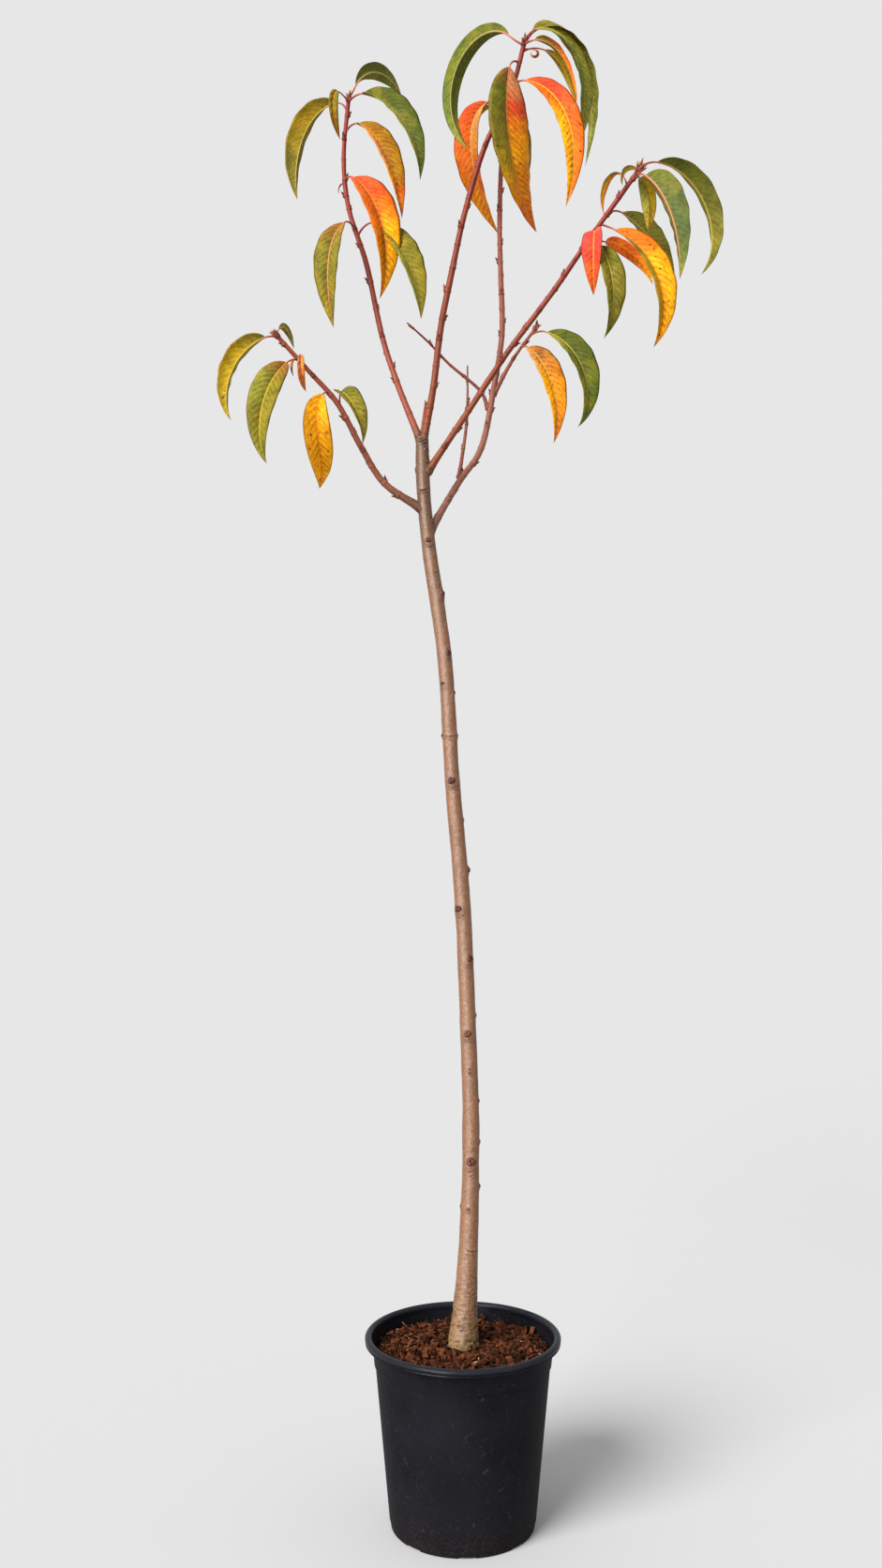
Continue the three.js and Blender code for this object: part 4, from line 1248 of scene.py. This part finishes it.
def trunk_skin(limb, bark):
    """The trunk, with bud scars, creases, a wrinkled flare at its foot and a knuckled fork."""
    piece, turn_share, share = flat_grid("trunk_bark", TRUNK_COLUMNS, TRUNK_ROWS)
    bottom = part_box("trunk")[0].z / MM
    first = float(limb.share_at(bottom))
    share = first + (1 - first) * share
    middle, radius = limb.at(share), limb.radius(share)
    outward = spoke(*limb.cross(share), TURN * turn_share)
    bearing, height = np.arctan2(outward[:, 1], outward[:, 0]), middle[:, 2]
    straight = round_points(radius, bearing, height)
    wander = rough(straight, 6)
    skin, pale = Skin(height, bearing, radius), np.zeros(len(share))
    # Under each scar a cushion and two small wrinkles with painted shade just below each, and a
    # dark spot on it.
    for level, compass, size in TRUNK_SCARS:
        at = math.radians(compass)
        skin.raise_by(0.24 * size, level - 0.3 * size, at, size * 0.8, size * 0.9)
        for drop in (0.75, 1.15):
            skin.raise_by(0.05 * size, level - drop * size, at, size * 0.12, size * 0.7,
                          0.4 * wander)
            skin.darken(0.6, level - (drop + 0.18) * size, at, size * 0.09, size * 0.55,
                        0.4 * wander)
        skin.darken(0.9, level, at, size * 0.5, size * 0.5)
    # Each crease sags at its ends, between two swollen lips, with painted shade along it and the
    # upper lip painted paler as a highlight.
    for level, compass, half, depth in TRUNK_CREASES:
        at, width = math.radians(compass), math.radians(half) * radius
        waver = wander - 2.6 * np.minimum(1, ((bearing - at) / math.radians(half)) ** 2)
        for lift, size in ((0, -depth), (2, depth * 0.7), (-2, depth)):
            skin.raise_by(size, level + lift, at, 1.0, width, waver)
        skin.darken(1, level, at, 1.0, width * 0.8, waver)
        pale = np.maximum(pale, depth * skin.bump(level + 2, at, 1.2, width * 0.7, waver))
    skin.relief += rough(straight * [1, 1, 0.4], 14) * 0.5
    skin.relief += rough(straight * [1, 1, 0.7], 4) * 0.11
    # Wrinkles with painted shade in their depths, and five low ribs at the foot.
    foot = np.clip(np.exp(-(height - 205) / 45), 0, 1)
    wrinkle = np.abs(rough(straight * [0.5, 0.5, 1.7] + wander[:, None] * [0, 0, 3], 5.5, 2))
    skin.relief += foot * (0.6 - 3 * wrinkle)
    # Painted shade in the deepest wrinkles.
    skin.mark = np.maximum(skin.mark, foot * 0.85 * np.clip(4 * wrinkle - 0.9, 0, 1))
    lobes = np.cos(5 * bearing + 1.2) + 0.6 * np.cos(3 * bearing - 0.4)
    skin.relief += lobes * np.exp(-(height - bottom) / 18)
    top = np.clip((1 - share) * limb.length / (radius * 0.9), 0, 1)
    closed = dome(top) * (share > first + 1e-9)
    set_points(piece, middle + outward * ((radius + skin.relief) * closed)[:, None])
    keep(piece, "bark_place", straight * MM)
    high = np.clip((height - 1000) / 170, 0, 1)[:, None]
    low = np.clip((420 - height) / 120, 0, 1)[:, None]
    colours = blend(bark.tan, bark.umber, high)
    # Painted highlight: a pale streak down the trunk on this bearing.
    painted_highlight = np.exp((np.cos(bearing - PAINTED_HIGHLIGHT_SIDE) - 1) / 0.08)[:, None]
    colours += 0.12 * painted_highlight * (np.array(bark.bloom) - colours)
    # Painted light: the side towards the key lamp is painted lighter, more so low down.
    painted_light = on_painted_light_side(outward) * (0.1 + 0.1 * low)
    # pale paints a highlight on the upper lip of each crease.
    tint(piece, "bark_tint", colours * (1 + painted_light) * (1 + 0.9 * pale[:, None]))
    # Painted shade in the clefts of the fork.
    for level, compass in FORK_CLEFTS:
        skin.darken(0.95 * (0.75 + 0.5 * wander), level, math.radians(compass), 5, 5)
    damp = np.exp(-np.maximum(height - 200, 0) / 45)
    moss = 0.55 * damp + 0.45 * damp**3 * (0.5 + 0.5 * np.cos(bearing + 0.8))
    keep(piece, "bark_age",
         (1 - 0.55 * high[:, 0], np.clip(skin.mark, 0, 1), np.clip(moss, 0, 1)))
    weld(piece)
    return piece


def reach_of(rows):
    """How far each point is from the Z axis."""
    return np.linalg.norm(rows[:, :2], axis=1)


def bud_form():
    """One pointed bud, a unit long and a unit wide, standing on the origin along +Z."""
    deselect()
    bpy.ops.mesh.primitive_uv_sphere_add(segments=10, ring_count=9, radius=0.5)
    rows, faces = form_of(bpy.context.object)
    height = rows[:, 2] + 0.5
    girth = np.sin(np.pi * height**0.62) ** 0.8 * (1 - 0.35 * height)
    rows[:, :2] *= (0.5 * girth / np.maximum(reach_of(rows), 1e-6))[:, None]
    rows[:, 2] = height
    return rows, faces


KNOB_SLOPE = 0.35  # how far knobs look up, in radians
LARGE_KNOB = 5  # knobs larger than this stand out further


def knob_form():
    """A round knob, a unit across, with three low corners and a dent in its face."""
    deselect()
    bpy.ops.mesh.primitive_uv_sphere_add(segments=24, ring_count=18, radius=0.5)
    rows, faces = form_of(bpy.context.object)
    rows[:, :2] *= 1 + 0.08 * np.cos(3 * np.arctan2(rows[:, 1], rows[:, 0]))[:, None]
    rows[:, 2] -= 0.2 * (rows[:, 2] > 0) * np.exp(-((reach_of(rows) / 0.2) ** 2))
    return rows, faces


def knob_frames(trunk):
    """Places and axes of the healed buds on the trunk."""
    places, axes = [], []
    for level, compass, size in TRUNK_SCARS:
        t = trunk.share_at(level)
        out, axis = (direction(math.radians(compass), slope) for slope in (0.0, KNOB_SLOPE))
        side = np.cross([0, 0, 1.0], out)
        lift = 0.1 * size if size > LARGE_KNOB else 0
        places.append(trunk.at(t) + out * (trunk.radius(t) + lift))
        axes.append(np.stack([side * size * 1.1, np.cross(axis, side) * size * 1.1,
                              axis * size * 0.7]))
    return np.array(places), np.array(axes)


def bud_frames(limb, buds, length, radius, sink, lean):
    """Places and axes of buds on a limb, length and radius for a bud of size 1."""
    t, turn, size = (np.array(column)[:, None] for column in zip(*buds, strict=True))
    along = limb.along(t[:, 0])
    outward = spoke(*limb.cross(t[:, 0]), turn[:, 0])
    axis = outward * math.sin(lean) + along * math.cos(lean)
    side = unit(np.cross(axis, outward))
    places = limb.at(t[:, 0]) + outward * (limb.radius(t) - sink)
    axes = np.stack([side * 2 * radius * size, np.cross(side, axis) * 2 * radius * size,
                     axis * length * size], axis=1)
    return places, axes


def tip_cluster(limb, tips, roll):
    """A cluster of slim buds in the place of each tip bud."""
    return [(t - 3 * k / limb.length, turn + 0.8 * k, size * (0.62 + 0.3 * roll()))
            for t, turn, size in tips for k in range(TIP_CLUSTER)]


def build_buds(name, slot, form, frames, material, tints, shades):
    """Copies of a form in one piece, each lighter or darker, shades being within the form."""
    places, axes = frames
    piece = scattered(name, form, places, axes)
    draws = np.random.default_rng(SHADE_SEED)
    light = draws.uniform(*SHADES, (len(places), 1)) * [1.2, 0.9, 0.8]
    rows = np.repeat(light * np.array(tints), len(form[0]), axis=0)
    tint(piece, "bud_tint", rows * np.tile(shades, len(places))[:, None])
    take(piece)
    bpy.ops.object.shade_smooth()
    dress(piece, material, slot)


def build_wood(bark):
    """The trunk, boughs, shoots and bare twigs, each with its bark's relief, and their buds."""
    roll = dice(BUD_SEED + 16)
    sprays = bud_rows(LIMBS)
    dress(trunk_skin(LIMBS["trunk"], bark), bark_material(bark, "trunk_bark", gloss=0.32),
          "trunk_bark", "trunk")
    material = bark_material(bark, "limb_bark", gloss=0.15)
    form = bud_form()
    frames, tints = [], []
    for order, (name, limb) in enumerate(LIMBS.items()):
        if name == "trunk":
            continue
        own, tips = sprays.get(name, ([], []))
        if limb.to > 0 and name != "fork_stub":
            own = bough_buds(limb, roll) + own
        skin = limb_skin(name, limb, own, bark, order)
        nodes = [name] if limb.to > 0 else []
        if name in SPRAY_NODES:
            nodes.append(SPRAY_NODES[name])
        dress(skin, material, "grey_bark" if limb.old in BROWN_BARKS else "red_bark", *nodes)
        if own:
            frames.append(bud_frames(limb, own, *PLAIN_BUD))
            tints += [bark.bud] * len(own)
        if tips:
            crowd = tip_cluster(limb, tips, roll)
            size = LONG_TIP_BUD if name == "right_bough" else TIP_BUD
            frames.append(bud_frames(limb, crowd, *size))
            tints += [bark.husk] * len(crowd)
    frames = [np.vstack(rows) for rows in zip(*frames, strict=True)]
    scales, healed, knob = bud_material(), knob_material(), knob_form()
    build_buds("buds", "red_bark", form, frames, scales, tints, np.ones(len(form[0])))
    rim = 0.25 + 1.4 * np.exp(-(((reach_of(knob[0]) - 0.36) / 0.13) ** 2))
    build_buds("trunk_knobs", "trunk_bark", knob, knob_frames(LIMBS["trunk"]), healed,
               [bark.knob] * len(TRUNK_SCARS), rim)


# ---- Leaves ----


SPRAY_NODES = {
    "low_left_bough": "low_left_spray", "upper_left_bough": "upper_left_spray",
    "centre_bough": "centre_spray", "rear_bough": "rear_spray", "side_twig": "side_spray",
    "right_bough": "right_spray",
}
BLADE_COLUMNS, BLADE_ROWS = 32, 150
STALK_COLUMNS, STALK_ROWS = 10, 96
MARGIN_CROWD = 1.35  # above 1, a blade's columns crowd at its midrib
TOOTH_DEPTH, WAVE_LENGTH = 0.16, 24
BELLY, RIB_DENT = 0.09, 0.45  # rise of each half, as a share of its width, and dent between
BAKE_MARGIN = 0.004  # between two blades in the map that the look is baked to


def outline(share):
    """The blade's half width at each share of its length, 1 where it is widest."""
    base, tip = OUTLINE
    peak = base / (base + tip)

    def shape(x):
        return x**base * (1 - x) ** tip

    return shape(share) / shape(peak)


def tint_rows(names, share, palette):
    """Colours that fade from one named tint to the next along the blade."""
    stops = np.array([getattr(palette, name) for name in names])
    places = np.linspace(0, 1, len(stops)) if len(stops) > 1 else [0]
    return np.column_stack([np.interp(share, places, stops[:, k]) for k in range(3)])


def blade(leaf, start, palette, number, cell):
    """A closed blade: folded at its midrib, waved at its margin and quilted between veins."""
    piece, turn, share = flat_grid("blade", BLADE_COLUMNS, BLADE_ROWS)
    upper = turn < 0.5 + 1e-6
    lateral = np.where(upper, 4 * turn - 1, 3 - 4 * turn)
    across = np.sign(lateral) * np.abs(lateral) ** MARGIN_CROWD
    wide = np.abs(across)
    _, face, edge = leaf.frame(share)
    half = leaf.width / 2 * outline(share)
    tooth = np.round(share * BLADE_ROWS) % 3 / 2
    reach = half * wide + TOOTH_DEPTH * tooth * (wide > 0.97) * np.minimum(1, half / 6)
    fold = math.radians(leaf.fold)
    swell = np.sin(math.pi * share)
    phase = number * 1.7 + np.where(across > 0, 0.9, 0)
    wave = palette.wave / MM * np.sin(
        TURN * leaf.length / WAVE_LENGTH * share + phase + 0.9 * np.sin(7 * share + number))
    run = share * leaf.length
    course = (run - reach * (VEIN_SLANT + VEIN_BEND * wide)) / (palette.vein_gap / MM)
    quilt = palette.quilting / MM * (0.5 - 0.5 * np.cos(TURN * course)) * np.sin(math.pi * wide)
    lift = (reach * math.sin(fold) + half * BELLY * np.sin(math.pi * wide)
            + wave * wide**2.2 * swell * np.minimum(1, half / 12)
            + quilt * swell * np.minimum(1, half / 9)
            - RIB_DENT * np.exp(-((reach / 1.1) ** 2)) * np.minimum(1, half / 3))
    thick = palette.thickness / MM / 2 * (1 - wide**4) * np.minimum(1, half / 2)
    lift = lift + np.where(upper, thick, -thick)
    middle = Line(leaf.blade_points(start)).at(share)
    side = np.sign(across) * reach
    rows = middle + edge * (side * math.cos(fold))[:, None] + face * lift[:, None]
    set_points(piece, rows)
    keep(piece, "leaf_place", np.column_stack([run, side, 23.0 * number + 0 * run]) * MM)
    keep(piece, "leaf_flat", np.column_stack(
        [run + 370.0 * number, side + 610.0 * number, 0 * run]) * MM)
    keep(piece, "leaf_share", (share, wide, np.where(upper, 0.0, 1.0)))
    keep(piece, "leaf_wear", (leaf.spots, leaf.rim, 0 * run))
    drift = share + 0.06 * rough(rows, 9) + 0.035 * rough(rows, 3)
    outer, inner = (tint_rows(names, drift, palette) for names in (leaf.outer, leaf.inner))
    tint(piece, "leaf_tint", blend(outer, inner, np.clip(0.5 + across * 6, 0, 1)[:, None]))
    tint(piece, "leaf_rib", np.tile(getattr(palette, leaf.rib), (len(share), 1)))
    bake = piece.data.uv_layers.new(name="OFBake")
    flat = np.empty(len(piece.data.loops) * 2)
    piece.data.uv_layers[0].data.foreach_get("uv", flat)
    low, size = cell
    bake.data.foreach_set("uv", (np.array(low) + flat.reshape(-1, 2) * size).ravel())
    weld(piece)
    return piece


def stalk(leaf, start, palette):
    """A leaf's stalk, which carries on as its midrib under the blade."""
    piece, turn_share, share = flat_grid("stalk", STALK_COLUMNS, STALK_ROWS)
    points = leaf.stalk_points(start)
    line = Line(np.vstack([points[:-1], leaf.blade_points(points[-1])]))
    split = STALK_STEPS / line.spans
    on_blade = np.clip((share - split) / (1 - split), 0, 1)
    girth = np.where(share < split, 1.25 - 0.3 * share / split,
                     0.95 * (1 - on_blade) ** 0.8 + 0.1)
    girth = girth * min(1, 0.55 + leaf.length / 260)
    girth = girth + 0.5 * np.exp(-share / split / 0.12)
    along = line.along(share)
    _, face, _ = leaf.frame(on_blade)
    side = unit(np.cross(along, face))
    over = np.cross(side, along)
    sunk = np.clip(on_blade * 12, 0, 1) * (girth - 0.12)
    closed = (share > 0) & (share < 1)
    ring = spoke(side, over, TURN * turn_share)
    set_points(piece, line.at(share) - over * sunk[:, None] + ring * (girth * closed)[:, None])
    foot, pink = np.array(palette.maroon), np.array(palette.pink)
    near = np.clip(share / split, 0, 1)[:, None] ** 2
    out = np.clip(on_blade * 5, 0, 1)[:, None]
    colours = blend(foot, foot * 0.3 + pink * 0.7, near)
    tint(piece, "stalk_tint", blend(colours, getattr(palette, leaf.rib), out))
    weld(piece)
    return piece


def build_leaves(palette):
    """Every spray's leaves and stalks, each kind apart."""
    blades_material, stalks_material = leaf_material(palette), stalk_material()
    number = 0
    for name, leaves in SPRAYS.items():
        limb, node = LIMBS[name], SPRAY_NODES[name]
        leaves = leaves + SCRAPS.get(name, [])
        strip = 1 / len(leaves)
        blades, stalks = [], []
        for order, leaf in enumerate(leaves):
            number += 1
            start = limb.at(np.array(float(leaf.at)))
            foot = leaf.stalk_points(start)[-1]
            cell = ((order * strip + BAKE_MARGIN, BAKE_MARGIN),
                    (strip - 2 * BAKE_MARGIN, 1 - 2 * BAKE_MARGIN))
            blades.append(blade(leaf, foot, palette, number, cell))
            stalks.append(stalk(leaf, start, palette))
        dress(joined(f"{node}_leaves", blades), blades_material, "foliage", node)
        dress(joined(f"{node}_stalks", stalks), stalks_material, "foliage", node)


# ---- Stage ----


LENS, SENSOR = 35, 36
EYE = (-0.0246, -1.712, 0.830)
# Where the lamps stand: degrees up, and to the left of the camera. The strip lamp only
# puts a sheen on the bark and the pot.
KEY_PLACE, STRIP_PLACE = (35, 40), (3, 26)
FLOOR_RADIUS, FLOOR_SIDES = 24, 96


def lamp(name, place, strength, breadth):
    """A far lamp, at a place given in degrees up and left of the camera."""
    up, left = place
    bpy.ops.object.light_add(
        type="SUN", rotation=(math.radians(90 - up), 0, math.radians(-left)))
    made = bpy.context.object
    made.name = name
    made.data.energy, made.data.angle = strength, breadth
    return made


def build_stage(stage):
    """A wide pale floor, light from all sides, two lamps at the left, the camera."""
    deselect()
    bpy.ops.mesh.primitive_circle_add(
        vertices=FLOOR_SIDES, radius=FLOOR_RADIUS, fill_type="NGON")
    floor = bpy.context.object
    floor.name = "floor"
    s = Shader("pale_floor", gloss=0)
    s.fill(s.surface, {"Base Color": rgba(stage.floor), "Roughness": 1.0})
    floor.data.materials.append(s.material)

    scene = bpy.context.scene
    world = scene.world or bpy.data.worlds.new("Studio")
    scene.world = world
    world.use_nodes = True
    sky = world.node_tree.nodes["Background"]
    sky.inputs["Color"].default_value = (1, 1, 1, 1)
    sky.inputs["Strength"].default_value = stage.sky

    lamp("key", KEY_PLACE, stage.key, stage.softness)
    strip = lamp("strip", STRIP_PLACE, stage.strip, stage.softness / 3)
    strip.visible_diffuse = False

    bpy.ops.object.camera_add(location=EYE, rotation=(math.pi / 2, 0, 0))
    camera = bpy.context.object
    camera.data.lens, camera.data.sensor_width = LENS, SENSOR
    scene.camera = camera
    scene.view_settings.view_transform = "Standard"


# ---- Operators and panel ----


class PEACH_OT_pot(bpy.types.Operator):
    """Build the black nursery pot"""

    bl_idname = "peach.pot"
    bl_label = "Pot"

    def execute(self, context):
        build_pot(context.scene.peach_pot)
        return {"FINISHED"}


class PEACH_OT_compost(bpy.types.Operator):
    """Build the compost and its chips of bark"""

    bl_idname = "peach.compost"
    bl_label = "Compost"

    def execute(self, context):
        build_compost(context.scene.peach_compost)
        return {"FINISHED"}


class PEACH_OT_wood(bpy.types.Operator):
    """Build the trunk, the boughs, the bare twigs and their buds"""

    bl_idname = "peach.wood"
    bl_label = "Trunk, boughs and buds"

    def execute(self, context):
        build_wood(context.scene.peach_bark)
        return {"FINISHED"}


class PEACH_OT_leaves(bpy.types.Operator):
    """Build every spray of leaves"""

    bl_idname = "peach.leaves"
    bl_label = "Leaves"

    def execute(self, context):
        build_leaves(context.scene.peach_leaf)
        return {"FINISHED"}


class PEACH_OT_stage(bpy.types.Operator):
    """Build the floor, the lamps and the camera"""

    bl_idname = "peach.stage"
    bl_label = "Stage"

    def execute(self, context):
        build_stage(context.scene.peach_stage)
        return {"FINISHED"}


class PEACH_PT_panel(bpy.types.Panel):
    """The tree's sizes and colours, and a button for each group of pieces"""

    bl_label = "Peach tree"
    bl_idname = "PEACH_PT_panel"
    bl_space_type = "VIEW_3D"
    bl_region_type = "UI"
    bl_category = "Peach tree"

    def draw(self, context):
        for key, (settings, operator) in GROUPS.items():
            box = self.layout.box()
            box.operator(operator.bl_idname)
            for field in settings.__annotations__:
                box.prop(getattr(context.scene, key), field)


GROUPS = {
    "peach_stage": (PeachStageSettings, PEACH_OT_stage),
    "peach_pot": (PeachPotSettings, PEACH_OT_pot),
    "peach_compost": (PeachCompostSettings, PEACH_OT_compost),
    "peach_bark": (PeachBarkSettings, PEACH_OT_wood),
    "peach_leaf": (PeachLeafSettings, PEACH_OT_leaves),
}


def register():
    """Adds the settings, the operators and the panel."""
    for key, (settings, operator) in GROUPS.items():
        bpy.utils.register_class(settings)
        bpy.utils.register_class(operator)
        setattr(bpy.types.Scene, key, PointerProperty(type=settings))
    bpy.utils.register_class(PEACH_PT_panel)


def unregister():
    """Takes them away again."""
    bpy.utils.unregister_class(PEACH_PT_panel)
    for key, (settings, operator) in GROUPS.items():
        delattr(bpy.types.Scene, key)
        bpy.utils.unregister_class(operator)
        bpy.utils.unregister_class(settings)


def main():
    """Builds everything in order."""
    register()
    bpy.ops.peach.stage()
    bpy.ops.peach.pot()
    bpy.ops.peach.compost()
    bpy.ops.peach.wood()
    bpy.ops.peach.leaves()


if __name__ == "__main__":
    main()
